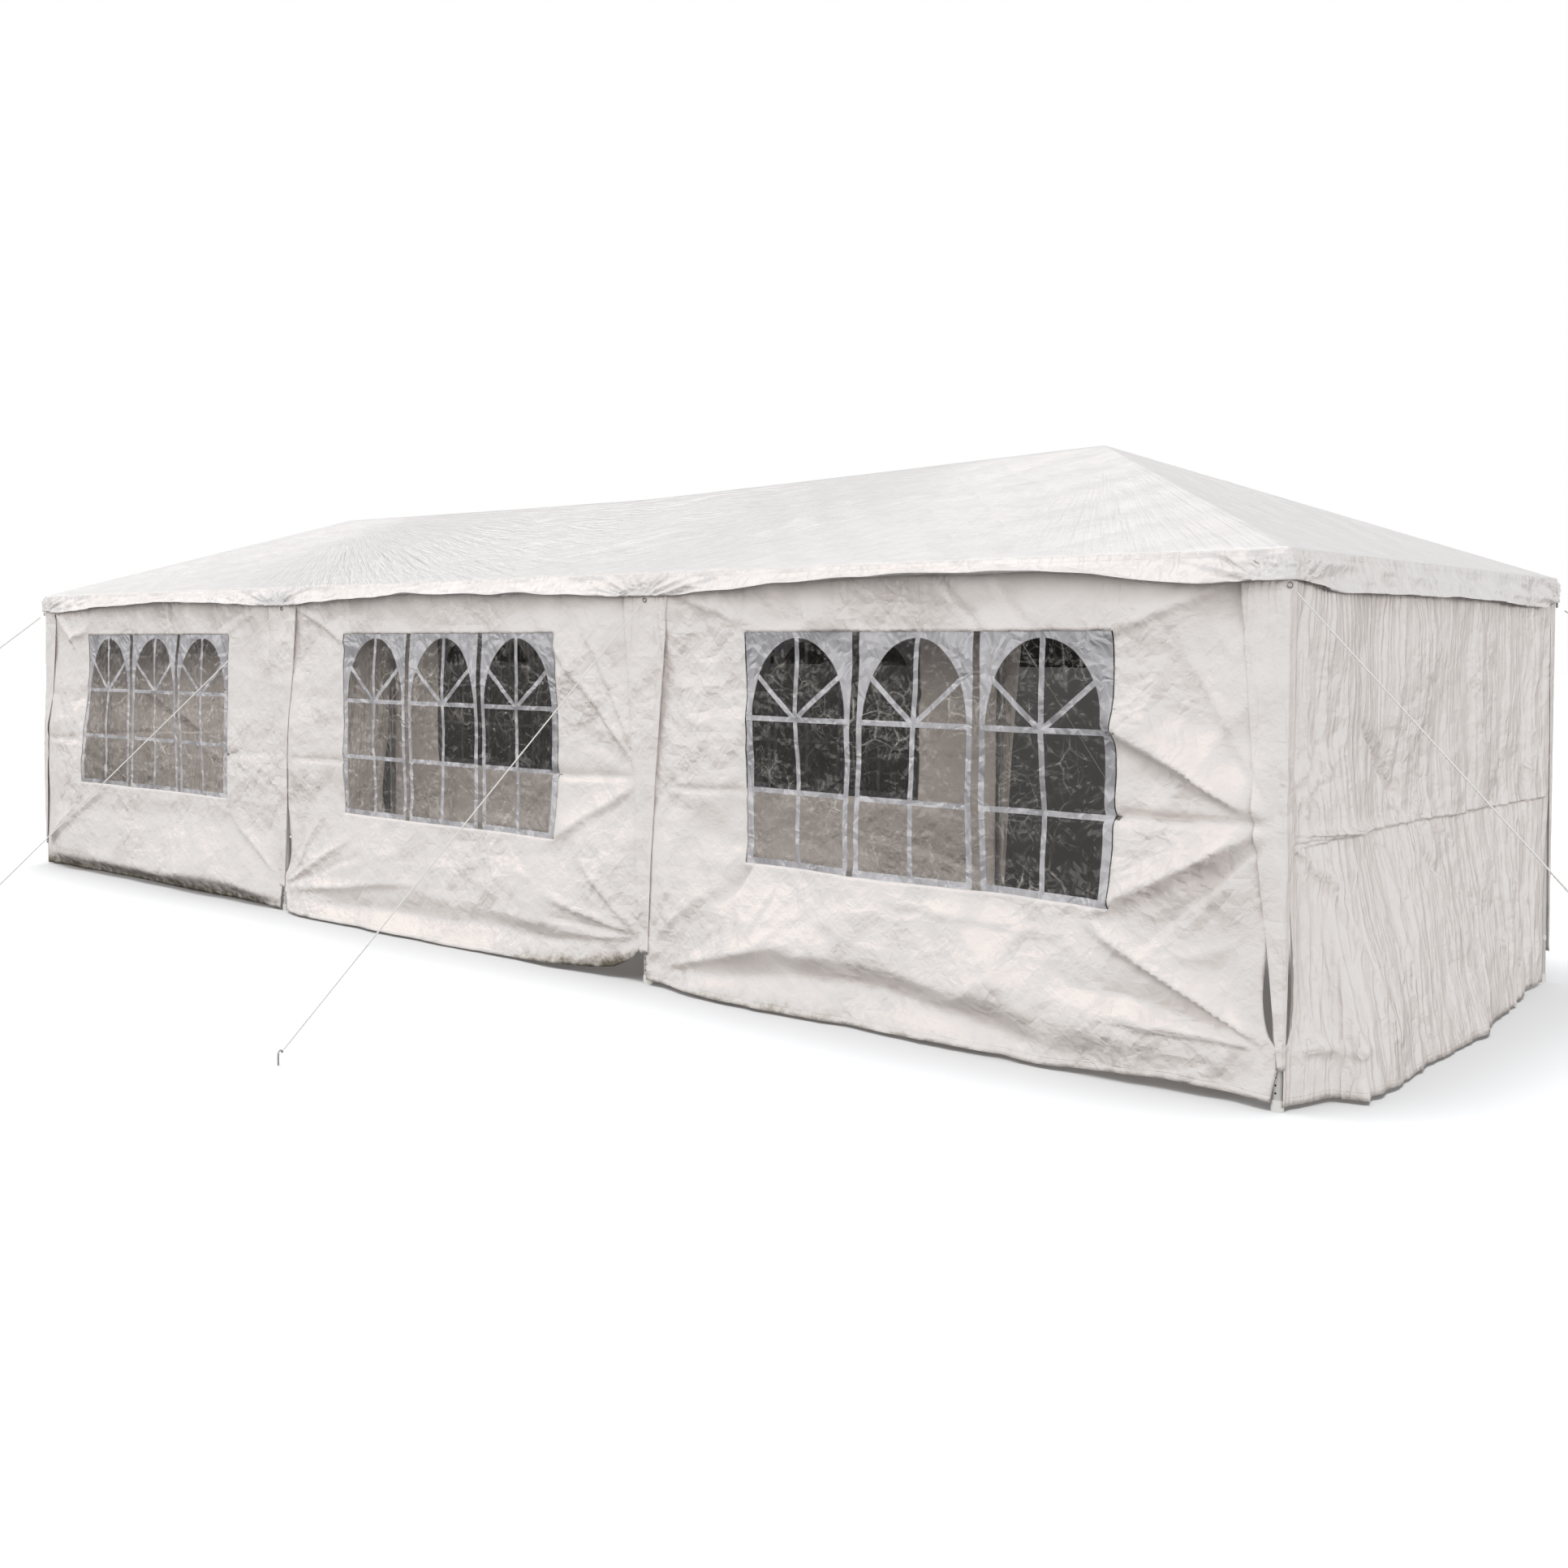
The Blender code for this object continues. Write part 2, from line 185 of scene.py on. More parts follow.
# Fittings low on each leg: three punched holes for its height, a small wire
# triangle that hooks the cover's tip to them, and white straps of woven tape
# that tie the edges of the walls to the leg at mid height and near the ground.
# The holes are near-black discs on the tube: painted shade of their insides.
leg_radius = 0.019
hole_heights = (0.064, 0.091, 0.118)
hole_radius = 0.0036
wire_radius = 0.0011
hook_corners = np.array([(-0.011, 0.0, 0.1415), (0.011, 0.0, 0.1415), (0.0, -0.001, 0.119)])
strap_heights = (0.21, 0.94)
strap_width = 0.026
thin_cloth = 0.001
leg_places = {f"{row}_{number + 1}": (-half_length + bay * number, side * half_depth, side)
              for row, side in (("front", -1), ("back", 1)) for number in range(4)}


def together(*parts):
    """The numbers of every point, side by side."""
    return np.stack(np.broadcast_arrays(*parts), axis=-1)


def grid_faces(rows, columns, closed=False):
    """Four-sided faces between neighbours of a grid, whose rows can be closed."""
    number = np.arange(rows * columns).reshape(rows, columns)
    if closed:
        number = np.hstack([number, number[:, :1]])
    return np.stack([number[:-1, :-1], number[:-1, 1:], number[1:, 1:], number[1:, :-1]],
                    axis=-1)


def tube_along(path, radius, sides, across=(0, 0, 1)):
    """The points and faces of a tube: a ring round each point of a path, square to
    its direction and begun on the side that is square to across as well."""
    ahead = np.gradient(path, axis=0)
    if np.allclose(path[0], path[-1]):
        ahead[0] = ahead[-1] = path[1] - path[-2]
    ahead /= np.linalg.norm(ahead, axis=1, keepdims=True)
    first = np.cross(ahead, across)
    first /= np.linalg.norm(first, axis=1, keepdims=True)
    second = np.cross(ahead, first)
    turn = np.linspace(0, 2 * pi, sides, endpoint=False)[None, :, None]
    radius = np.reshape(radius, (-1, 1, 1))
    rings = np.cos(turn) * first[:, None] + np.sin(turn) * second[:, None]
    return path[:, None] + radius * rings, grid_faces(len(path), sides, True)


def add_to_scene(name, data):
    """A new object for a mesh, light or camera."""
    added = bpy.data.objects.new(name, data)
    bpy.context.scene.collection.objects.link(added)
    return added


def add_piece(name, grids, finish, flat=None, replaced=(), weld=True, thickness=0, soil=None):
    """One mesh from grids of points, each with its faces, riding on the frame.

    Flat holds the same places on the uncut cloth, in metres, and soil how soiled
    each is. Cloth gets its thickness on the inner side.
    """
    points, faces, start = [], [], 0
    for grid, grid_face in grids:
        points.append(grid.reshape(-1, 3))
        faces.append(grid_face.reshape(-1, 4) + start)
        start += len(points[-1])
    points = np.concatenate(points)
    faces = np.concatenate(faces)
    used, corners = np.unique(faces, return_inverse=True)
    mesh = bpy.data.meshes.new(name)
    mesh.from_pydata(points[used].tolist(), [], corners.reshape(-1, 4).tolist())
    if flat is not None:
        cut = flat.reshape(-1, 2)[faces.ravel()].astype(np.float32)
        mesh.uv_layers.new(name="flat").data.foreach_set("uv", cut.ravel())
    if soil is not None:
        layer = mesh.attributes.new("soil", "FLOAT", "POINT")
        layer.data.foreach_set("value", soil.ravel()[used].astype(np.float32))
    if weld:
        shell = bmesh.new()
        shell.from_mesh(mesh)
        bmesh.ops.remove_doubles(shell, verts=shell.verts, dist=1e-6)
        shell.to_mesh(mesh)
        shell.free()
    mesh.shade_smooth()
    mesh.materials.append(finish)
    piece = add_to_scene(name, mesh)
    if thickness:
        layer = piece.modifiers.new("cloth_thickness", "SOLIDIFY")
        layer.thickness = thickness
        layer.offset = -1
    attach(piece, "root")
    if replaced:
        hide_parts(*replaced)
    return piece


# The holes are near-black discs: painted shade of their insides.
hole_shade_finish, shader, place = new_finish("punched_hole_painted_shade", roughness=0.8)
feed(shader, {"Base Color": place.noise(300, 1).blend((0.008, 0.008, 0.009, 1),
                                                      (0.03, 0.03, 0.03, 1))})
wire_steel, shader, place = new_finish("galvanised_wire", metallic=0.9)
zinc = place.noise(180, 3)
feed(shader, {"Base Color": zinc.blend((0.35, 0.36, 0.37, 1), (0.55, 0.56, 0.57, 1)),
              "Roughness": 0.3 + zinc * 0.25})
strap_tape, shader, place = new_finish("white_strap_tape", roughness=0.7)
ribs = (place.parts()[2] * 2600).math("SINE")
feed(shader, {"Base Color": place.noise(90, 2).blend((0.70, 0.70, 0.74, 1), (0.86, 0.86, 0.88, 1)),
              "Normal": ribs.bump(0.0002)})

holes, wires, straps = [], [], []
turn = np.linspace(0, 2 * pi, 13)
for x, y, side in leg_places.values():
    ring, spoke = np.meshgrid(np.linspace(0, 1, 4), turn, indexing="ij")
    for level in hole_heights:
        across = hole_radius * ring * np.cos(spoke)
        up = hole_radius * ring * np.sin(spoke)
        depth = np.sqrt((leg_radius + 0.0004) ** 2 - across ** 2) + 0.0002 * ring * (1 - ring)
        disc = together(x - side * across, y + side * depth, level + up)
        holes.append((disc, grid_faces(4, 13)))
    wire_sides = [np.linspace(hook_corners[k], hook_corners[(k + 1) % 3], 7)[:-1] for k in range(3)]
    right, out, up = np.concatenate([*wire_sides, hook_corners[:1]]).T
    loop = together(x + right, y + side * (leg_radius + 0.003 + out), up)
    wires.append(tube_along(loop, wire_radius, 6, (0, 1, 0)))
    for level in strap_heights:
        row, spoke = np.meshgrid(np.linspace(-1, 1, 5), turn, indexing="ij")
        hold = leg_radius + 0.0016 + 0.0006 * np.cos(2 * spoke)
        band_height = level + strap_width / 2 * row
        band = together(x + hold * np.cos(spoke), y + hold * np.sin(spoke), band_height)
        straps.append((band, grid_faces(5, 13)))
add_piece("leg_height_holes", holes, hole_shade_finish)
add_piece("cover_hooks", wires, wire_steel)
add_piece("wall_straps", straps, strap_tape, thickness=thin_cloth)


# Walls of the two long sides: panels of white woven polythene with packing
# creases, one a bay, open for a window sheet. They hang under the eaves and are
# tied to the legs at mid height and low down. Their hems are spread and soiled.
wall_out = 0.0253
wall_top = 1.86
wall_bottom = 0.015
wall_half = 1.515
window_half = 0.89
window_bottom = 0.625
window_top = 1.635
wall_length = 1.845
window_area = 4 * window_half * 0.505
side_hems = 0.04
cloth_thickness = 0.0012
cloth_white = (0.80, 0.772, 0.757, 1)
cloth_shade = (0.72, 0.68, 0.65, 1)
soil_brown = (0.080, 0.068, 0.038, 1)
sides = {"front": ((1, 0), (0, -1), half_depth), "back": ((-1, 0), (0, 1), half_depth),
         "right": ((0, 1), (1, 0), half_length), "left": ((0, -1), (-1, 0), half_length)}


def stand(side, along, out, height):
    """A point of a side, from its place to the right as seen from outside, how
    far it stands out from the axes of the legs, and its height."""
    right, outward, reach = sides[side]
    x = right[0] * along + outward[0] * (reach + out)
    y = right[1] * along + outward[1] * (reach + out)
    return together(x, y, height)


def steps(spacing, *knots):
    """Places through all the knots, with equal steps in each stretch."""
    parts = [np.linspace(low, high, max(2, round((high - low) / spacing) + 1))[:-1]
             for low, high in zip(knots, knots[1:])]
    return np.concatenate([*parts, knots[-1:]])


def smooth(share):
    """The cubic 3 t squared less 2 t cubed, with t held between 0 and 1."""
    share = np.clip(share, 0, 1)
    return share * share * (3 - 2 * share)


def ripple(u, v, seed):
    """Gradient noise: random slopes at the corners of a square lattice, blended
    smoothly from corner to corner."""
    angle = np.random.default_rng(seed).uniform(0, 2 * pi, (64, 64))
    column = np.floor(u).astype(int)
    row = np.floor(v).astype(int)
    x, y = u - column, v - row

    def slope(right, up):
        toward = angle[(column + right) % 64, (row + up) % 64]
        return np.cos(toward) * (x - right) + np.sin(toward) * (y - up)

    blend_x = x ** 3 * (x * (x * 6 - 15) + 10)
    blend_y = y ** 3 * (y * (y * 6 - 15) + 10)
    low = slope(0, 0) + blend_x * (slope(1, 0) - slope(0, 0))
    high = slope(0, 1) + blend_x * (slope(1, 1) - slope(0, 1))
    return low + blend_y * (high - low)


def crumple(u, v, cell, seed):
    """Dents with sharp edges: the size of gradient noise on a lattice pulled out of
    line, with a finer layer of the same."""
    pulled_u = u / cell + 0.9 * ripple(u / cell / 1.7, v / cell / 1.7, seed + 1)
    pulled_v = v / cell + 0.9 * ripple(u / cell / 1.7, v / cell / 1.7, seed + 2)
    coarse = np.abs(ripple(pulled_u, pulled_v, seed + 3))
    fine = np.abs(ripple(2.3 * pulled_u, 2.3 * pulled_v, seed + 4))
    return coarse + 0.45 * fine - 0.3


def creased(u, v, size, slope, count, seed):
    """Creases of a sheet that was crushed flat: folded over and over along random
    lines, each time in narrower strips, it rises or falls across every strip, and
    earlier folds mirror later ones."""
    chance = np.random.default_rng(seed)
    x = u + 0.22 * size * ripple(u / size * 1.4, v / size * 1.4, seed + 1)
    y = v + 0.22 * size * ripple(u / size * 1.4, v / size * 1.4, seed + 2)
    height = 0
    for number in range(count):
        strip = size * 0.76 ** number
        angle, shift = chance.uniform(0, pi), chance.uniform(0, 2)
        right, up = np.cos(angle), np.sin(angle)
        off = right * x + up * y
        folded = np.abs((off / strip + shift) % 2 - 1) * strip
        x, y = x + (folded - off) * right, y + (folded - off) * up
        height = height + (folded - strip / 2) * slope * chance.choice((-1, 1))
    return height


def fold(a, z, start, end, width, height):
    """A fold along a line, from nothing at its start, where the cloth is tied. It
    widens on the way, fades at its end, and is steep on its lower side, where the
    cloth hangs over."""
    run = np.subtract(end, start)
    length = np.hypot(*run)
    along = ((a - start[0]) * run[0] + (z - start[1]) * run[1]) / length ** 2
    off = ((z - start[1]) * run[0] - (a - start[0]) * run[1]) / length * np.sign(run[0] + 1e-6)
    off = off + 0.012 * ripple(along * 3.1, 0, int(start[0] * 50 + end[1] * 90) % 50 + 60)
    spread = width * (0.3 + 0.7 * np.clip(along, 0, 1)) * np.where(off > 0, 1.15, 0.30)
    swell = smooth(along / 0.3) * smooth((1.25 - along) / 0.5)
    return height * swell * np.exp(-(np.abs(off) / spread) ** 1.25)


def along_knots(a, knots):
    places, numbers = zip(*knots)
    return np.interp(a, places, numbers)


# Folds of each panel, from a tie or a top corner towards the window: start, end,
# width and height. Then the hem, the low crease and the ridge over it, each as
# heights along the panel, and how far the cloth stands out on them.
plain_wall = dict(
    seed=10, folds=[], soil=[(-1.5, 0.25), (1.5, 0.25)], bows=(0.025, 0.025),
    hem=[(-1.5, 0.02), (-0.7, 0.012), (0.4, 0.02), (1.5, 0.015)],
    crease=[(-1.5, 0.12), (0, 0.14), (1.5, 0.12)],
    ridge=[(-1.5, 0.2), (0, 0.28), (1.5, 0.2)],
    hem_out=[(-1.5, 0.01), (-0.9, 0.045), (0.9, 0.05), (1.5, 0.01)],
    crease_out=[(-1.5, 0.0), (1.5, 0.0)],
    ridge_out=[(-1.5, 0.0), (-0.6, 0.02), (0.6, 0.02), (1.5, 0.0)],
    billow=(0.0, 0.9, 0.0), crush=0.6,
)
wall_forms = {}
wall_forms["front_3"] = dict(
    plain_wall, seed=31, bows=(0.02, 0.06), crush=1.0,
    folds=[
        ((1.47, 0.98), (0.84, 1.30), 0.10, 0.068), ((1.47, 0.965), (0.84, 0.95), 0.026, -0.052),
        ((1.47, 0.95), (0.84, 0.62), 0.09, 0.056), ((1.47, 0.92), (0.98, 0.47), 0.07, -0.030),
        ((1.47, 1.02), (1.12, 1.62), 0.07, 0.022), ((1.48, 0.21), (0.86, 0.52), 0.07, 0.054),
        ((1.48, 0.20), (0.90, 0.31), 0.030, -0.036), ((1.48, 0.195), (0.9, 0.22), 0.035, 0.030),
        ((-1.46, 0.925), (-0.88, 0.93), 0.014, -0.014), ((-0.84, 0.62), (-0.99, 0.44), 0.05, -0.028),
        ((-0.97, 0.46), (-0.88, 0.28), 0.04, -0.020), ((-1.48, 0.06), (-0.66, 0.29), 0.06, 0.024),
        ((-1.48, 0.2), (-0.88, 0.60), 0.07, 0.014), ((-0.70, 0.56), (-0.82, 0.32), 0.03, 0.014),
        ((0.02, 1.92), (-0.2, 1.62), 0.02, -0.014), ((0.03, 1.92), (0.3, 1.64), 0.022, -0.014),
        ((0.03, 1.92), (0.03, 1.60), 0.02, 0.010), ((0.33, 1.90), (0.48, 1.66), 0.02, -0.010),
        ((1.42, 1.84), (0.86, 1.62), 0.05, 0.018), ((-1.42, 1.84), (-0.86, 1.66), 0.05, 0.014),
        ((0.84, 1.38), (1.13, 1.25), 0.022, 0.012), ((-0.21, 0.55), (0.6, 0.49), 0.03, 0.014),
        ((0.95, 1.83), (1.36, 1.76), 0.03, -0.012),
    ],
    hem=[(-1.5, 0.025), (-1.0, 0.016), (-0.35, 0.012), (0.2, 0.02), (0.65, 0.015),
         (0.9, 0.03), (1.1, 0.04), (1.36, 0.032), (1.5, 0.03)],
    crease=[(-1.5, 0.09), (-1.05, 0.10), (-0.59, 0.17), (-0.12, 0.17), (0.3, 0.11),
            (0.66, 0.05), (1.5, 0.05)],
    ridge=[(-1.5, 0.15), (-1.07, 0.18), (-0.7, 0.29), (-0.12, 0.28), (0.3, 0.24),
           (0.73, 0.2), (1.07, 0.18), (1.5, 0.18)],
    hem_out=[(-1.5, 0.01), (-1.0, 0.05), (0, 0.055), (0.5, 0.03), (0.8, 0.0), (1.5, 0.0)],
    ridge_out=[(-1.5, 0.0), (-1.0, 0.035), (-0.5, 0.075), (0, 0.075), (0.5, 0.06),
               (1.0, 0.04), (1.5, 0.0)],
    soil=[(-1.5, 0.5), (-0.6, 0.6), (0.2, 0.35), (0.9, 0.5), (1.5, 0.3)],
)
wall_forms["front_2"] = dict(
    plain_wall, seed=47, bows=(0.085, 0.02),
    folds=[
        ((1.47, 0.97), (0.86, 1.60), 0.09, 0.030), ((1.47, 1.0), (1.10, 1.64), 0.06, 0.020),
        ((1.47, 0.95), (0.86, 0.935), 0.03, -0.026), ((1.47, 0.93), (0.86, 0.62), 0.08, 0.026),
        ((-1.46, 0.905), (-0.88, 0.91), 0.014, -0.014), ((-1.42, 1.82), (-0.88, 1.58), 0.05, 0.022),
        ((-1.49, 0.15), (-0.88, 0.45), 0.035, 0.022), ((-1.49, 0.14), (-0.78, 0.37), 0.03, -0.014),
        ((-1.49, 0.13), (-0.3, 0.28), 0.045, 0.020), ((-1.49, 0.17), (-1.1, 0.58), 0.05, 0.014),
        ((1.48, 0.2), (0.9, 0.34), 0.04, 0.022), ((1.48, 0.19), (0.9, 0.16), 0.03, 0.018),
        ((1.48, 0.2), (0.9, 0.24), 0.025, -0.016), ((1.48, 0.2), (1.08, 0.55), 0.06, 0.018),
    ],
    hem=[(-1.5, 0.02), (-1.1, 0.012), (-0.44, 0.015), (0.17, 0.01), (0.69, 0.015),
         (1.15, 0.035), (1.3, 0.055), (1.42, 0.11), (1.5, 0.17)],
    crease=[(-1.5, 0.1), (-0.9, 0.1), (-0.3, 0.12), (0.3, 0.14), (0.9, 0.13), (1.5, 0.19)],
    ridge=[(-1.5, 0.17), (0, 0.24), (0.9, 0.22), (1.5, 0.24)],
    hem_out=[(-1.5, 0.02), (-1.0, 0.055), (0, 0.065), (0.9, 0.05), (1.2, 0.02), (1.5, 0.0)],
    ridge_out=[(-1.5, 0.0), (-0.8, 0.02), (0.2, 0.025), (0.9, 0.035), (1.5, 0.0)],
    soil=[(-1.5, 0.1), (0.3, 0.1), (0.8, 0.7), (1.3, 1.0), (1.5, 0.8)],
)
wall_forms["front_1"] = dict(
    plain_wall, seed=59, bows=(0.02, 0.035),
    folds=[
        ((1.46, 0.91), (0.76, 0.89), 0.014, -0.012), ((-1.46, 0.90), (-0.95, 0.90), 0.03, -0.024),
        ((-1.4, 1.82), (-1.10, 1.58), 0.04, 0.026), ((-1.18, 1.58), (-0.92, 1.66), 0.04, 0.022),
        ((-1.48, 0.12), (-0.96, 0.46), 0.06, 0.026), ((-1.48, 0.12), (-0.68, 0.56), 0.05, 0.020),
        ((1.42, 1.84), (0.82, 1.62), 0.06, 0.010), ((1.48, 0.2), (0.95, 0.5), 0.06, 0.014),
        ((0.75, 1.66), (1.1, 1.78), 0.03, -0.012),
    ],
    hem=[(-1.5, 0.01), (1.5, 0.012)],
    crease=[(-1.5, 0.03), (1.5, 0.03)],
    ridge=[(-1.5, 0.13), (-1.29, 0.11), (-0.54, 0.10), (0.02, 0.09), (0.68, 0.14),
           (0.92, 0.12), (1.3, 0.08), (1.5, 0.08)],
    hem_out=[(-1.5, -0.01), (-1.2, -0.03), (1.2, -0.03), (1.5, 0.0)],
    crease_out=[(-1.5, 0.0), (-1.2, -0.025), (1.2, -0.025), (1.5, 0.0)],
    ridge_out=[(-1.5, 0.0), (-1.2, 0.035), (0.7, 0.04), (1.2, 0.03), (1.5, 0.0)],
    soil=[(-1.5, 1.0), (1.1, 1.0), (1.5, 0.5)], billow=(-0.95, 0.8, 0.06), crush=0.45,
          )
wall_forms["back_1"] = dict(plain_wall, seed=73, folds=[
    ((1.46, 0.94), (0.86, 1.4), 0.08, 0.030), ((-1.46, 0.94), (-0.86, 0.62), 0.08, 0.026),
    ((1.46, 0.92), (0.86, 0.93), 0.02, -0.02), ((-1.46, 0.96), (-0.86, 1.25), 0.07, 0.022),
    ((-1.48, 0.2), (-0.6, 0.4), 0.06, 0.022), ((1.48, 0.2), (0.7, 0.36), 0.05, 0.020)])
wall_forms["back_2"] = dict(plain_wall, seed=89, folds=[
        ((-1.46, 0.94), (-0.86, 1.3), 0.08, 0.030), ((1.46, 0.94), (0.86, 0.62), 0.08, 0.026),
    ((-1.46, 0.92), (-0.86, 0.93), 0.02, -0.02), ((1.46, 0.98), (0.95, 1.6), 0.07, 0.022),
    ((1.48, 0.2), (0.7, 0.42), 0.06, 0.022), ((-1.48, 0.2), (-0.7, 0.34), 0.05, 0.020)])


def edge_slack(z):
    """How slack a panel's edge is between its low and middle ties, most low down."""
    return np.sin(pi * np.clip((z - 0.21) / 0.73, 0, 1) ** 0.5) ** 1.4


def side_hem(a, z, left, right):
    """The hem past a panel's side edges, turned in more where they are slack: its
    place along the panel and how far it is set in."""
    past = np.maximum(a - right, 0) + np.maximum(-left - a, 0)
    angle = radians(6) + radians(35) * edge_slack(z)
    back = np.clip(a, -left, right) - np.sign(a) * past * np.cos(angle)
    return back, past * np.sin(angle) + 0.0016 * (past > 0)


def wall_shift(form, a, z):
    """How far a panel's edges draw in between its ties, and its hem's height."""
    left, right = form["bows"]
    below = smooth((0.2 - z) / 0.2) * 0.5
    inward = (edge_slack(z) + below) * (np.where(a > 0, -right, left))
    pull = inward * smooth((np.abs(a) - 1.2) / 0.3)
    low = along_knots(a, form["hem"]) - wall_bottom
    drop = low * np.clip(1 - (z - wall_bottom) / 0.35, 0, 1) ** 2
    return pull, drop


def wall_relief(form, a, z):
    """How far a panel stands out: its low ridge, crease and hem, billow, folds and
    dents, all drawn in to nothing at the legs."""
    seed = form["seed"]
    hem = along_knots(a, form["hem"])
    crease = np.maximum(along_knots(a, form["crease"]), hem + 0.004)
    ridge = np.maximum(along_knots(a, form["ridge"]), crease + 0.02)
    hem_out = along_knots(a, form["hem_out"])
    crease_out = along_knots(a, form["crease_out"])
    ridge_out = along_knots(a, form["ridge_out"]) * (1 + 0.8 * ripple(a * 2.1, 0, seed))
    out = hem_out + (crease_out - hem_out) * np.clip((z - hem) / (crease - hem), 0, 1)
    out += (ridge_out - crease_out) * smooth((z - crease) / (ridge - crease))
    out -= ridge_out * smooth((z - ridge) / 0.4)
    for line in form["folds"]:
        out += fold(a, z, *line)
    centre, level, size = form["billow"]
    out += size * np.exp(-((a - centre) / 0.5) ** 2 - ((z - level) / 0.42) ** 2)
    held = smooth((1.5 - np.abs(a)) / 0.16)
    top = smooth((wall_top + 0.02 - z) / 0.22)
    wide = 0.024 * ripple(a * 1.3, z * 1.5, seed + 5) + 0.012 * ripple(a * 3.1, z * 3.3, seed + 6)
    dents = 0.008 * crumple(a, z, 0.30, seed + 10) + 0.002 * crumple(a, z, 0.10, seed + 20)
    dents += creased(a, z, 0.55, 0.06, 9, seed + 40)
    sheet = (smooth((window_half + 0.05 - np.abs(a)) / 0.12) * smooth((z - window_bottom + 0.05) / 0.12)
             * smooth((window_top + 0.05 - z) / 0.12))
    dents *= form["crush"] * (1 - 0.55 * sheet)
    gathers = 0.012 * ripple(a * 9, z * 1.4, seed + 30) * smooth((z - 1.5) / 0.25)
    out += (wide + dents) * held * top + gathers * held
    for line in (-0.9, -0.45, 0.0, 0.45, 0.9):
        off = np.abs(a - line - 0.004 * ripple(z * 3, 0, seed + 7))
        depth = 0.004 if abs(line) > 0.8 else 0.002
        out -= depth * np.exp(-(off / 0.010) ** 1.2) * held
    out -= 0.002 * np.exp(-(np.abs(z - 0.93 - 0.01 * ripple(a * 2, 0, seed + 8)) / 0.012)) * held
    return out * smooth((1.505 - np.abs(a)) / 0.05)


def crushed(place, size, count, seed):
    """The creases of crushed cloth, as in creased, but folded in space."""
    chance = np.random.default_rng(seed)
    height = 0
    for number in range(count):
        way = chance.normal(size=3)
        way = tuple(way / np.linalg.norm(way))
        off = place.node("VectorMath", {"operation": "DOT_PRODUCT"}, {0: place, 1: way}, 1)
        folded = (off + chance.uniform(0, 2)).math("PINGPONG", size * 0.74 ** number)
        place = place.node("VectorMath", {"operation": "MULTIPLY_ADD"},
                           {0: folded - off, 1: way, 2: place})
        height = folded * chance.choice((-1.0, 1.0)) + height
    return height


def woven_cover(name, dirt=True, pleats=0.0, white=cloth_white, seam=0.0):
    """White woven polythene with a smooth skin: facets between sharp creases, thin
    upright pleats, a faint weave, stitched hem and seams, and soft blotches."""
    material, shader, place = new_finish(name)
    u, v, _ = place.node("UVMap", {"uv_map": "flat"}).parts()
    pulled = place.pulled(0.07)
    facets = crushed(pulled, 0.14, 9, 5) * (0.028 + 0.075 * place.noise(1.9, 2).rise(0.36, 0.66))
    dent = abs(pulled.noise(15, 3, 0.6) - 0.5)
    fine = abs(place.noise(46, 3, 0.62) - 0.5)
    pleat = abs(pulled.scaled(1, 1, 0.03).noise(19, 1.5, 0.6) - 0.5).math("POWER", 0.6)
    weave = (u * 1570).math("SINE") * (v * 1570).math("SINE")
    stitches = abs(v - 0.024).rise(0.0, 0.003)
    if seam:
        stitches = stitches + abs(abs(u) - seam).rise(0.0, 0.003)
    blotch = place.noise(2.3, 4, 0.6).rise(0.35, 0.7)
    colour = (blotch * 0.3).blend(white, cloth_shade)
    if dirt:
        soil = place.node("Attribute", {"attribute_name": "soil"}, None, 2)
        patchy = (soil * (place.noise(16, 4, 0.65) * 1.6)).rise(0.12, 0.85)
        colour = (patchy * 0.92).blend(colour, soil_brown)
    feed(shader, {"Base Color": colour, "Roughness": 0.44 + fine * 0.5,
                  "Normal": (facets - dent * 0.007 - fine * 0.003 - pleat * pleats
                             + stitches * 0.001 + weave * 0.00004).bump(1.0)})
    return material


def window_cells(a, z):
    """Which cells of a panel's grid are cloth, and not the window opening."""
    middle_a = (a[1:] + a[:-1]) / 2
    middle_z = (z[1:] + z[:-1]) / 2
    open_a = np.abs(middle_a) < window_half
    open_z = (middle_z > window_bottom) & (middle_z < window_top)
    return ~(open_z[:, None] & open_a[None, :])


wall_cloth = woven_cover("woven_wall_cover", seam=0.905)
pleated_cloth = woven_cover("pleated_end_cover", pleats=0.018)
hem_steps = np.array([0.004, 0.012, 0.021])
wall_centres = {"front_1": -3.0, "front_2": 0.0, "front_3": 3.0, "back_1": 3.0, "back_2": 0.0}
for label, centre in wall_centres.items():
    form = wall_forms[label]
    side = label.split("_")[0]
    spacing = 0.015 if side == "front" else 0.022
    left_end = wall_half if abs(centre + 3) < 0.1 else 1.495
    right_end = wall_half if abs(centre - 3) < 0.1 else 1.495
    across = steps(spacing, -left_end, -window_half, window_half, right_end)
    across = np.concatenate([-left_end - hem_steps[::-1], across, right_end + hem_steps])
    up = steps(spacing, wall_bottom, window_bottom, window_top, wall_top)
    a, z = np.meshgrid(across, up)
    along, set_in = side_hem(a, z, left_end, right_end)
    held_a = np.clip(a, -left_end, right_end)
    pull, drop = wall_shift(form, held_a, z)
    out = wall_relief(form, held_a, z) - set_in
    points = stand(side, centre + along + pull, wall_out + out, z + drop)
    soil = along_knots(a, form["soil"]) * np.clip(1 - (z - wall_bottom) / 0.13, 0, 1)
    faces = grid_faces(*a.shape)[window_cells(across, up)]
    flat = together(a, z - wall_bottom)
    panel = add_piece(f"wall_{label}_cloth", [(points, faces)], wall_cloth, flat,
                      ["wall_" + label], False, cloth_thickness, soil)
    cut_width = left_end + right_end + side_hems
    cut_width * wall_length - window_area
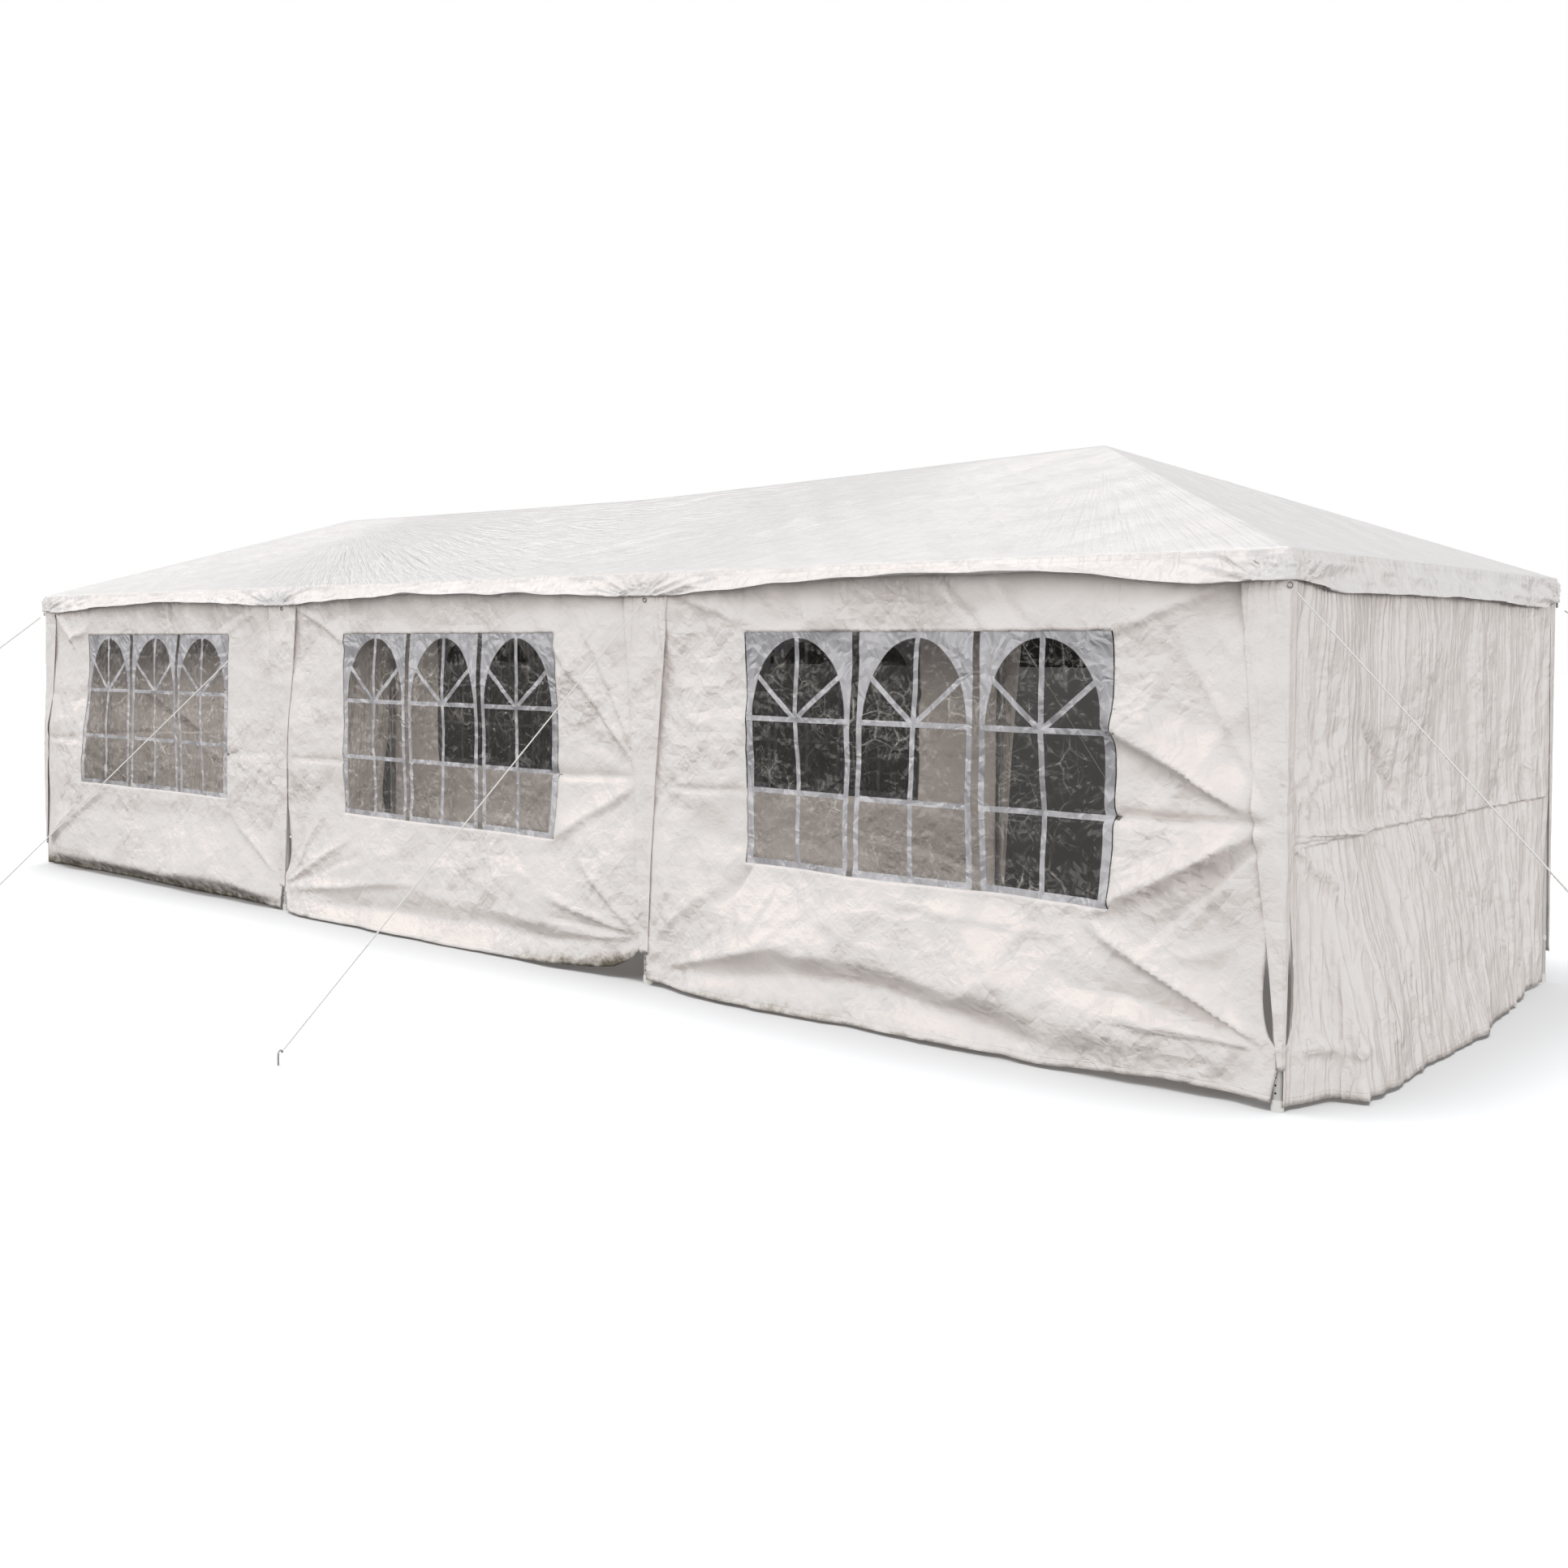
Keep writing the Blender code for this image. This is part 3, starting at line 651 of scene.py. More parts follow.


# Window sheets: clear flexible plastic behind each opening, welded to the cloth
# by its edges. Each is printed grey white with three arched lights, and two
# narrow strips between them are left clear. The clear parts are tinted near
# black as painted shade of the dim inside, and an unprinted strip at each side
# edge is a painted shadow line. The sheet is crinkled, with a pale haze that is
# partly whitened plastic and partly painted sheen.
lap = 0.015
light_half = 0.255
light_step = 2 * window_half / 3
spring = 0.637
arch_rise = 0.35
bar_half = 0.0115
spoke_angle = radians(40)
print_white = (0.47, 0.48, 0.51, 1)
# The clear parts are near black and half opaque: painted shade of the dim inside seen through them.
clear_painted_shade = (0.012, 0.011, 0.010, 1)
# Pale haze along creases and streaks: partly whitened plastic, partly painted sheen.
haze_and_sheen_white = (0.50, 0.48, 0.45, 1)

window_sheet, shader, place = new_finish("printed_window_sheet", roughness=0.2)
u, v, _ = place.node("UVMap", {"uv_map": "flat"}).parts()
off = u - light_step * (u / light_step).math("ROUND")
over = v - spring
arch = (over.math("MAXIMUM", 0) / arch_rise).math("POWER", 2)
inside = (off / light_half).math("POWER", 2) + arch
light = (1 - inside.rise(0.97, 1.0)) * v.rise(0.028, 0.030)
side_off = abs(off)
spoke = abs(side_off * sin(spoke_angle) - over * cos(spoke_angle))


def bar(distance):
    """One on a printed bar, from the distance to its middle line."""
    return 1 - distance.rise(bar_half - 0.0006, bar_half + 0.0006)


spokes = bar(spoke) * over.rise(-0.001, 0.001)
bars = bar(side_off)
for other in (bar(abs(over)), bar(abs(v - 0.325)), spokes):
    bars = bars.math("MAXIMUM", other)
strip = 1 - abs(abs(u) - light_step / 2).rise(0.0165, 0.0175)
# A thin unprinted strip at each side edge, dark as the clear parts: a painted shadow line where the
# sheet meets the cloth.
rim = abs(u).rise(0.8835, 0.8845)
printed = (1 - light * (1 - bars)) * (1 - strip) * (1 - rim)
pulled = place.pulled(0.16)
crinkle = pulled.noise(6, 6, 0.62, "RIDGED_MULTIFRACTAL")
crease, small = [place.node("TexVoronoi", {"feature": "DISTANCE_TO_EDGE"},
                            {"Vector": pulled, "Scale": scale}) for scale in (8.0, 21.0)]
# Where the pale crease lines show: partly worn plastic, partly painted sheen.
wear_and_sheen_mask = place.noise(2.7, 3, 0.6).rise(0.44, 0.62)
lines = (1 - crease.rise(0.0, 0.045)) * wear_and_sheen_mask + (1 - small.rise(0.0, 0.07)) * wear_and_sheen_mask * 0.6
haze_and_sheen_streak = place.scaled(1, 1, 1.6).noise(3.1, 4, 0.6).rise(0.5, 0.75)
haze_and_sheen = (haze_and_sheen_streak * 0.06 + lines * 0.6).math("MINIMUM", 1)
feed(shader, {
    "Base Color": printed.blend(haze_and_sheen.blend(clear_painted_shade, haze_and_sheen_white), print_white),
    "Roughness": 0.07 + printed * 0.35 + haze_and_sheen * 0.12,
    "Alpha": 0.52 + printed * 0.42 + haze_and_sheen * 0.12,
    "Normal": (crushed(place, 0.5, 3, 6) * 0.10 + crushed(pulled, 0.12, 8, 3) * 0.2
               + crinkle * 0.010).bump(1.0),
})
for label, centre in wall_centres.items():
    form = wall_forms[label]
    side = label.split("_")[0]
    across = steps(0.0175, -window_half - lap, window_half + lap)
    up = steps(0.0175, window_bottom - lap, window_top + lap)
    a, z = np.meshgrid(across, up)
    pull, drop = wall_shift(form, a, z)
    behind = wall_out - 0.0022 + wall_relief(form, a, z)
    points = stand(side, centre + a + pull, behind, z + drop)
    flat = together(a, z - window_bottom)
    pane = add_piece(f"window_{label}_sheet", [(points, grid_faces(*a.shape))], window_sheet,
                     flat, ["window_" + label], False)


# End walls: plain panels of the same cloth with no window, hung from hooks under
# the eaves in many narrow pleats, with one packing fold at mid height. Cut wider
# than the bay, they spread at the hem, which lies out on the ground.
end_top = 1.86
spread_knots = [(-1.52, 0.0), (-1.46, 0.0), (-1.44, 0.005), (-1.35, 0.03), (-1.26, 0.05),
                (-1.225, 0.17), (-0.95, 0.17), (-0.7, 0.16), (-0.3, 0.145), (0.0, 0.14),
                (0.35, 0.115), (0.6, 0.10), (0.9, 0.05), (1.2, 0.0), (1.52, 0.0)]
end_folds = [
    ((-1.47, 0.93), (-0.75, 0.90), 0.02, 0.018), ((-1.47, 0.88), (-0.8, 0.915), 0.02, 0.016),
    ((-1.47, 0.98), (-1.12, 1.17), 0.02, 0.016), ((-1.47, 1.0), (-1.2, 1.3), 0.03, 0.014),
    ((-1.47, 0.93), (-1.08, 0.68), 0.03, 0.018), ((-0.92, 1.32), (-0.32, 0.92), 0.06, -0.045),
    ((-0.33, 0.80), (-0.10, 0.66), 0.05, -0.028), ((-1.30, 0.90), (-0.92, 0.25), 0.07, 0.022),
    ((-1.48, 0.21), (-1.16, 0.17), 0.05, 0.035),
]


def end_relief(y, z, seed):
    """Narrow upright pleats with sharp crests over soft dents. The packing fold is
    a step in the cloth, with slanting folds beside it at the front corner."""
    sway = 0.04 * ripple(y * 1.2, z * 1.1, seed)
    pleat = 0.3 - (np.abs(ripple((y + sway) * 6.3, z * 0.35, seed + 1)) + 0.002) ** 0.75
    narrow = 0.3 - (np.abs(ripple((y + sway) * 16, z * 0.5, seed + 2)) + 0.002) ** 0.75
    low = smooth((0.95 - z) / 0.9)
    near_hem = 1 - 0.5 * smooth((0.3 - z) / 0.3)
    out = ((0.038 + 0.008 * low) * pleat + 0.008 * narrow) * near_hem
    out += 0.024 * ripple(y * 1.6, z * 1.4, seed + 3) + 0.006 * crumple(y, z, 0.24, seed + 5)
    out += creased(y, z * 0.6, 0.4, 0.05, 8, seed + 11)
    line = 0.905 - 0.02 * (y + 1.5) / 3 + 0.012 * ripple(y * 2.5, 0, seed + 4)
    out += 0.018 * (smooth((z - line) / 0.012 + 0.5) - 0.5) * np.exp(-np.abs(z - line) / 0.09)
    for slanting in end_folds:
        out += fold(y, z, *slanting)
    return out


def add_end_wall(side, seed, spacing):
    """One end wall as a grid of places along it and heights."""
    across = np.concatenate([-wall_half - hem_steps[::-1], steps(spacing, -wall_half, wall_half),
                             wall_half + hem_steps])
    up = np.unique([*steps(0.020, wall_bottom, 0.855, 0.955, end_top), *steps(0.006, 0.855, 0.955)])
    a, z = np.meshgrid(across, up)
    along, set_in = side_hem(a, z, wall_half, wall_half)
    a = np.clip(a, -wall_half, wall_half)
    y = a if side == "right" else -a
    share = np.clip((0.92 - z) / 0.9, 0, 1) ** 1.15
    spread = along_knots(y, spread_knots) * share
    held = smooth((1.5 - np.abs(a)) / 0.12)
    top = smooth((end_top + 0.03 - z) / 0.3)
    out = spread + end_relief(y, z, seed) * held * (0.30 + 0.70 * top)
    pull = np.where(y > 0, 0.035, 0.075) * -np.sign(a) * edge_slack(z) * smooth((np.abs(a) - 1.2) / 0.3)
    narrow = 1 - 0.06 * np.clip((1.5 - z) / 1.5, 0, 1) * smooth((y - 0.9) / 0.6)
    lift = 0.012 * ripple(a * 2.2, 0, seed + 12) * np.clip(1 - (z - 0.03) / 0.4, 0, 1) ** 2
    points = stand(side, (along + pull) * narrow, wall_out + out - set_in, z + lift)
    flat = together(a, z - wall_bottom)
    soil = 0.35 * np.clip(1 - (z - wall_bottom) / 0.08, 0, 1)
    panel = add_piece(f"wall_{side}_cloth", [(points, grid_faces(*a.shape))], pleated_cloth,
                      flat, ["wall_" + side], False, cloth_thickness, soil)


add_end_wall("right", 101, 0.0095)
add_end_wall("left", 131, 0.0125)


# Covers over the legs: flaps of the same cloth that taper in two steps, sewn in
# under the roof's edge and hooked to the foot of each leg, over the edges of the
# walls. A corner cover is folded round its leg, with one long side and one short.
cover_top = 1.895
cover_middle = 0.93
cover_bottom = 0.145
cover_reach = 0.0286 + 0.0008
middle_halves = (0.025, 0.068, 0.155)
long_arms = (0.02, 0.10, 0.18)
short_arms = (0.02, 0.05, 0.08)
cover_cloth = woven_cover("woven_leg_cover", dirt=False, pleats=0.010)


def side_relief(side, along, z):
    """The relief of whichever panel of a long side is at a place along it."""
    out = np.zeros(np.broadcast(along, z).shape)
    for label, centre in wall_centres.items():
        if label.startswith(side):
            here = np.abs(along - centre) <= bay / 2
            out = np.where(here, wall_relief(wall_forms[label], along - centre, z), out)
    return out


def over(relief):
    """Cloth laid over relief: a smooth bend from flat to the relief's height."""
    return (relief + np.sqrt(relief ** 2 + 0.003 ** 2)) / 2


def free_height(z):
    """Nothing at the ends of a cover, one where it hangs free between them."""
    return smooth((1.74 - z) / 0.35) * smooth((z - cover_bottom) / 0.3)


for number, (label, (x, y, side)) in enumerate(leg_places.items()):
    row = label.split("_")[0]
    up = steps(0.02, cover_bottom, cover_middle, cover_top)
    levels = (cover_bottom, cover_middle, cover_top)
    seed = 200 + 7 * number
    if abs(x) < 4:
        u, z = np.meshgrid(np.linspace(-1, 1, 25), up)
        width = np.interp(z, levels, middle_halves)
        along = x * -side + u * width
        wrinkles = 0.0022 * ripple(u * 3.2 + seed, z * 1.1, seed) + 0.012 * (1 - u * u) * free_height(z)
        points = stand(row, along, cover_reach + over(side_relief(row, along, z)) + wrinkles, z)
        flat = together(u * width, z)
    else:
        end = -1 if x < 0 else 1
        u, z = np.meshgrid(np.concatenate([np.linspace(-1, 0, 19), np.linspace(0, 1, 11)[1:]]), up)
        long_arm = np.interp(z, levels, long_arms) * np.clip(-u, 0, 1)
        short_arm = np.interp(z, levels, short_arms) * np.clip(u, 0, 1)
        round_edge = 0.004 * np.exp(-np.abs(u) / 0.08)
        wrinkles = 0.0014 * ripple(u * 3.5 + seed, z * 1.2, seed)
        wrinkles += 0.010 * np.sin(pi * np.clip(-u, 0, 1)) * free_height(z)
        relief = over(side_relief(row, -side * (x - end * long_arm), z))
        px = x + end * (cover_reach - long_arm - round_edge + wrinkles * (u > 0))
        py = y + side * (cover_reach - short_arm - round_edge + (wrinkles + relief) * (u < 0))
        points = together(px, py, z)
        if end * side > 0:
            points = points[:, ::-1]
            long_arm, short_arm = long_arm[:, ::-1], short_arm[:, ::-1]
        flat = together(short_arm - long_arm, z)
    cover = add_piece(f"leg_cover_{label}_cloth", [(points, grid_faces(*z.shape))], cover_cloth,
                      flat, ["leg_cover_" + label], False, thin_cloth)


# Roof: one cover sewn from four slopes, laid over the ridge pole, the rafters and
# the eave rails, and pulled tight to the corners. It sags a little between the
# tubes and is finely wrinkled in lines that run to the peaks.
eave_top = 1.91
roof_reach = 0.0319
ridge_half = 3.0
slope_length = 1.62
# The roof's white is lighter and cooler than the walls', though it is the same cloth: painted light of
# the sky on the top.
roof_sky_lit_white = (0.83, 0.845, 0.86, 1)
roof_blotch = (0.84, 0.835, 0.835, 1)
ridge_knots = [(-3.0, 2.468), (-1.5, 2.452), (0.0, 2.442), (1.5, 2.478), (3.0, 2.52)]
half_x = half_length + roof_reach
half_y = half_depth + roof_reach


def side_steps(half, legs, spacing):
    """Places along one side of the eaves, closer together near the legs."""
    knots = sorted({-half, half, -half + 0.45, half - 0.45,
                    *[leg + reach for leg in legs for reach in (-0.45, 0, 0.45)]})
    parts = []
    for low, high in zip(knots, knots[1:]):
        step = spacing * (0.7 if high - low < 0.5 else 1)
        parts.append(np.linspace(low, high, round((high - low) / step) + 1)[:-1])
    return np.concatenate([*parts, [half]])


def eave_ring(spacing):
    """Points round the eaves from the front left corner, as seen from above, with
    the outward direction and the distance to the nearest leg at each."""
    long_side = side_steps(half_x, (-1.5, 1.5), spacing)
    short_side = side_steps(half_y, (), spacing)
    parts = []
    for side, places in (("front", long_side), ("right", short_side),
                         ("back", long_side), ("left", short_side)):
        along = places[:-1]
        legs = (-4.5, -1.5, 1.5, 4.5) if side in ("front", "back") else (-1.5, 1.5)
        gaps = along[:, None] - np.array(legs)
        nearest = gaps[np.arange(len(along)), np.argmin(np.abs(gaps), axis=1)]
        normal = np.broadcast_to(sides[side][1], (len(along), 2))
        parts.append((stand(side, along, roof_reach, 0)[:, :2], normal, along, nearest,
                      np.full(len(along), ("front", "right", "back", "left").index(side))))
    return [np.concatenate(part) for part in zip(*parts)]


ring, _, _, _, ring_side = eave_ring(0.030)
ridge_x = np.where(ring_side % 2 == 0, ring[:, 0] * ridge_half / half_x,
                   np.sign(ring[:, 0]) * ridge_half)
ridge_z = along_knots(ridge_x, ridge_knots)
share = steps(0.019, 0.0, 1.0)[:, None]
share = share ** 1.1
roof_x = ring[:, 0] + (ridge_x - ring[:, 0]) * share
roof_y = ring[:, 1] * (1 - share)
roof_z = eave_top + (ridge_z - eave_top) * share


def roof_free(x, y, share, side):
    """How free the cloth is: a half wave between neighbouring rafters or hips, and
    the width of that gap as a share of a bay."""
    hip = half_x - half_y * share
    bay_left = np.where(np.abs(x) < 1.5, -1.5, np.where(x > 0, 1.5, -hip))
    bay_right = np.where(np.abs(x) < 1.5, 1.5, np.where(x > 0, hip, -1.5))
    between = np.clip((x - bay_left) / np.maximum(bay_right - bay_left, 0.01), 0, 1)
    width = np.maximum(half_y * (1 - share), 0.01)
    between_ends = np.clip((y + width) / (2 * width), 0, 1)
    across = np.where(side % 2 == 0, between, between_ends)
    span = np.where(side % 2 == 0, (bay_right - bay_left) / 3, width / 1.5)
    return np.sin(pi * across), span


def roof_relief(x, y, share, free):
    """Small upright relief: long wrinkles that run to the nearest peak, and dents."""
    lines = 0
    near_left = smooth((-x - 0.2) / 1.6)
    near_right = smooth((x + 1.4) / 1.6)
    for peak, near in ((-ridge_half, near_left), (ridge_half, near_right)):
        angle = np.arctan2(y, x - peak)
        away = np.hypot(x - peak, y)
        rays = ripple(angle * 14, away * 0.4, 301) + 0.6 * ripple(angle * 31, away * 0.5, 302)
        depth = 0.004 + 0.006 * smooth(np.abs(x - peak) / 1.5)
        lines = lines + depth * rays * smooth(away / 0.6) * near
    held = np.sin(pi * np.clip(share, 0, 1)) ** 0.5 * smooth(free * 3)
    dents = 0.008 * crumple(x, y, 0.30, 310) + 0.003 * crumple(x, y, 0.11, 320)
    end_only = smooth((np.abs(x) - ridge_half - 0.05 * np.abs(y)) / 0.15)
    dents += creased(x, y, 0.5, 0.030, 8, 330) * (1 - end_only)
    dents += creased(x, y, 0.22, 0.03, 6, 350) * end_only
    return (lines + dents) * held


free, span = roof_free(roof_x, roof_y, share, ring_side)
sag = 0.016 * span * free ** 1.5 * np.sin(pi * np.clip(share, 0, 1)) ** 0.8
roof_z = roof_z - sag + roof_relief(roof_x, roof_y, share, free)
roof_points = together(roof_x, roof_y, roof_z)
roof_flat = together(np.where(ring_side % 2 == 0, roof_x, roof_y), share * slope_length)


def roof_finish(name):
    """The wall's cloth, whiter and cooler as painted light of the sky on the top, with fine wrinkles
    that run to the peaks.
    """
    material, shader, place = new_finish(name)
    x, y, _ = place.parts()
    rays = 0
    for end in (-1, 1):
        from_peak = x * -end + ridge_half
        angle = y.math("ARCTAN2", from_peak + 0.0001)
        away = (from_peak * from_peak + y * y).math("SQRT")
        polar = place.node("CombineXYZ", None, {0: angle * 12, 1: away * 0.3, 2: 7.0 * end})
        line = abs(polar.noise(3.4, 4, 0.62) - 0.5)
        near = (x * end).rise(-1.6, 0.4)
        inner = 0.35 + 1.1 * from_peak.rise(0.2, 1.8)
        rays = line * away.rise(0.1, 1.2) * near * inner + rays
    facets = crushed(place, 0.2, 8, 9)
    fine = place.noise(45, 2)
    blotch = place.noise(1.6, 3, 0.6).rise(0.35, 0.7)
    feed(shader, {
        "Base Color": (blotch * 0.4).blend(roof_sky_lit_white, roof_blotch),
        "Roughness": 0.42 + fine * 0.16,
        "Normal": (facets * 0.04 + fine * 0.002 - rays * 0.045).bump(1.0),
    })
    return material


roof_cloth = add_piece("roof_slopes", [(roof_points, grid_faces(*roof_x.shape, True))],
                       roof_finish("woven_roof_cover"), roof_flat, ["roof_cover"],
                       thickness=cloth_thickness)


# Valance: the strip that hangs from the roof's edge, sewn to it and hemmed. Tight
# over the covers at the legs, with folds gathered to each eyelet, it stands out
# and curls up between them.
valance_drop = 0.115
end_drop = 0.145
eyelet_height = 1.785
# The valance's white is lighter and cooler than the walls', though it is the same cloth: painted light
# where it catches the sky.
valance_lit_white = (0.81, 0.805, 0.81, 1)
flare_knots = [(-4.53, 3), (-4.2, 14), (-3.4, 42), (-2.6, 46), (-1.9, 34), (-1.5, 3), (-1.1, 30),
               (-0.4, 46), (0.5, 44), (1.1, 32), (1.5, 3), (1.85, 26), (2.5, 52), (3.0, 64),
               (3.6, 56), (4.1, 30), (4.53, 3)]
end_flare_knots = [(-1.53, 3), (-1.0, 14), (0.0, 22), (1.0, 12), (1.53, 3)]

ring, ring_out, ring_along, ring_leg, ring_side = eave_ring(0.0135)
down = np.linspace(0, 1, 17)[:, None]
is_long = ring_side % 2 == 0
turn_side = np.where(ring_side == 2, -1, 1)
flare = np.where(is_long, along_knots(ring_along * turn_side, flare_knots),
                 along_knots(ring_along, end_flare_knots))
flare = np.radians(flare * (1 + 0.35 * ripple(ring_along * 2.3, ring_side * 5.5, 401)))
drop = np.where(is_long, valance_drop, end_drop)
corner = half_x - np.abs(ring[:, 0]) + half_y - np.abs(ring[:, 1])
drop = drop + 0.03 * np.exp(-corner / 0.3) * is_long
drop = 0.108 + (drop - 0.108) * smooth((np.abs(ring_leg) - 0.015) / 0.3)
curl = np.radians(45) * np.clip(flare / 0.8, 0, 1) * (1 + ripple(ring_along * 3.1, ring_side * 3.3, 402))
lean = flare * (0.35 + 0.65 * smooth(down * 1.6)) + curl * smooth((down - 0.55) / 0.45)
step_down = drop / (len(down) - 1)
out_steps = np.sin(lean) * step_down
down_steps = np.cos(lean) * step_down
out = np.cumsum(out_steps, axis=0) - out_steps[:1] + 0.007 * smooth(down * 2.2)
fall = np.cumsum(down_steps, axis=0) - down_steps[:1]
level = eave_top - fall
to_eyelet = np.hypot(ring_leg, level - eyelet_height)
fan = np.arctan2(level - eyelet_height, np.abs(ring_leg) + 0.004)
fan_side = ring_side * 3 + np.where(ring_leg > 0, 1.5, 0) + np.round(ring_along / 3)
gather = 0.22 - np.abs(ripple(fan * 5.3 + fan_side, to_eyelet * 1.2, 411))
gather = gather + 0.6 * (0.20 - np.abs(ripple(fan * 11.5 + fan_side, to_eyelet * 2, 412)))
strength = 0.11 * np.exp(-to_eyelet / 0.28) * smooth(to_eyelet / 0.14)
strip = ring_along + 11 * ring_side
wave = 0.016 * ripple(strip * 4.2, down * 1.1, 413) * smooth(np.abs(ring_leg) / 0.35)
below = down * drop
lips = 0.008 * crumple(strip, below * 2.2, 0.20, 414)
lips = lips + creased(strip * 0.4, below, 0.085, 0.10, 6, 416)
lips = lips + creased(strip, below, 0.12, 0.08, 5, 418)
pucker = 0.016 * ripple(strip * 30, down * 1.2, 419) * np.exp(-down / 0.4) * smooth(down / 0.08)
loose = smooth(np.abs(ring_leg) / 0.10)
drag = np.abs(below - 0.035 - 0.028 * (ring_along + 1.4)) / 0.010
lips = lips + np.where(is_long, 0, 0.012 * np.exp(-drag))
out = out + (gather * strength + wave + lips * loose) * smooth(down * 2.5) + pucker * loose
out = np.maximum(out, 0.0006 * down) + 0.0012
valance_points = together(ring[:, 0] + ring_out[:, 0] * out, ring[:, 1] + ring_out[:, 1] * out,
                          level + 0.004 * down * ripple(strip * 5, 0, 415))
valance_flat = together(ring_along, below)
valance_cloth = woven_cover("woven_valance", dirt=False, pleats=0.010, white=valance_lit_white)
valance = add_piece("roof_valance", [(valance_points[::-1], grid_faces(*level.shape, True))],
                    valance_cloth, valance_flat[::-1], ["roof_cover"],
                    thickness=cloth_thickness)


# Guy ropes: thin twisted white cord, pulled tight from a metal eyelet in each leg
# cover to a bent steel peg in the ground. The corner ropes run out diagonally.
# The grooves between its strands are painted darker: painted shade.
rope_radius = 0.003
eyelet_radius = 0.0095
eyelet_wire = 0.0024
cover_face = 0.0289
peg_grip = 0.035
peg_height = 0.046
peg_radius = 0.0038
hook_radius = 0.009
corner_bearing = radians(33)
corner_peg_out = 2.55
middle_peg_out = 1.99
upright = np.array([0.0, 0.0, 1.0])
twisted_cord, shader, place = new_finish("twisted_white_cord", roughness=0.75)
u, v, _ = place.node("UVMap", {"uv_map": "flat"}).parts()
strand = (u * 6.2832 * 3 + v * 420).math("SINE")
# Darker between the strands: painted shade in the grooves of the twist.
strand_groove_shade = strand.rise(-1, 0.2).blend((0.66, 0.66, 0.63, 1), (0.90, 0.90, 0.89, 1))
feed(shader, {"Base Color": strand_groove_shade,
              "Normal": strand.bump(0.0006)})
eyelet_metal, shader, place = new_finish("nickel_eyelet", metallic=1.0)
tarnish = place.noise(240, 3)
feed(shader, {"Base Color": tarnish.blend((0.16, 0.16, 0.16, 1), (0.42, 0.42, 0.41, 1)),
              "Roughness": 0.25 + tarnish * 0.3})

turn = np.linspace(0, 2 * pi, 25)[:, None]
bend = np.linspace(0, pi * 1.1, 9)[:, None]
for label, (x, y, side) in leg_places.items():
    end = -1 if x < 0 else 1
    if abs(x) > 4:
        outward = np.array([end * cos(corner_bearing), side * sin(corner_bearing), 0.0])
        seat = np.array([x + end * cover_face, y + side * cover_face, eyelet_height])
        foot = seat + outward * corner_peg_out
    else:
        outward = np.array([0.0, side, 0.0])
        seat = np.array([x, y + side * cover_face, eyelet_height])
        foot = seat + outward * middle_peg_out + np.array([end * 0.05, 0, 0])
    foot[2] = 0.0
    level_way = np.cross(outward, upright)
    middle = seat + outward * 0.0045
    rim = middle + eyelet_radius * (np.cos(turn) * level_way + np.sin(turn) * upright)
    add_piece(f"eyelet_{label}", [tube_along(rim, eyelet_wire, 10, outward)], eyelet_metal)
    start = middle - outward * 0.002
    grip = foot + peg_grip * upright
    path = start + (grip - start) * np.linspace(0, 1, 70)[:, None]
    radii = np.full(70, rope_radius)
    radii[0] = radii[-1] = 1e-4
    path[0] = path[1] - (path[1] - path[0]) * 0.001
    lengths = np.linspace(0, np.linalg.norm(grip - start), 70)
    cord_flat = together(np.linspace(0, 1, 11)[:-1], lengths[:, None])
    add_piece(f"cord_{label}", [tube_along(path, radii, 10)], twisted_cord, cord_flat,
              [f"guy_rope_{label}"])
    peg_head = foot + peg_height * upright
    hook = hook_radius * ((1 - np.cos(bend)) * -outward + np.sin(bend) * upright)
    peg = np.concatenate([np.linspace(foot, peg_head, 6), peg_head + hook])
    sizes = np.full(len(peg), peg_radius)
    sizes[-1] = 1e-4
    add_piece(f"peg_{label}", [tube_along(peg, sizes, 10, level_way)], wire_steel)


# Studio: a plain pale floor with a light of its own, a soft sun from above the
# left front, lamps inside for the glow of the cloth, and a pale surround, dim
# below, with a bright low band at the right front. Seen through a window sheet,
# the floor and the surround are painted near black, as shade. The camera is at
# eye height.
floor_finish, shader, place = new_finish("pale_floor", roughness=0.9)
path = place.tree.nodes.new("ShaderNodeLightPath")
# Where it is seen through a window sheet, the floor is painted near black: painted shade of the tent's
# dim inside.
shade_behind_sheet = Value(place.tree, path.outputs["Transparent Depth"]).math("MINIMUM", 1)
pale = place.noise(0.4, 1).blend((0.45, 0.46, 0.47, 1), (0.46, 0.47, 0.48, 1))
feed(shader, {"Base Color": shade_behind_sheet.blend(pale, (0.004, 0.004, 0.003, 1))})
floor_mesh = bpy.data.meshes.new("pale_floor")
floor_mesh.from_pydata([(-120, -120, 0), (120, -120, 0), (120, 120, 0), (-120, 120, 0)], [],
                       [(0, 1, 2, 3)])
floor_mesh.materials.append(floor_finish)
floor = add_to_scene("pale_floor", floor_mesh)
floor.visible_diffuse = False
floor.visible_glossy = False


def add_light(name, kind, strength, size, place, aim=(0, 0, 0), tint=(1, 1, 1)):
    """A soft light at a place, turned towards the point that it aims at."""
    lamp = bpy.data.lights.new(name, kind)
    lamp.energy = strength
    lamp.color = tint
    if kind == "SUN":
        lamp.angle = size
    else:
        lamp.size = size
    item = add_to_scene(name, lamp)
    item.location = place
    item.rotation_mode = "QUATERNION"
    item.rotation_quaternion = (Vector(place) - Vector(aim)).to_track_quat("Z", "Y")
    return item


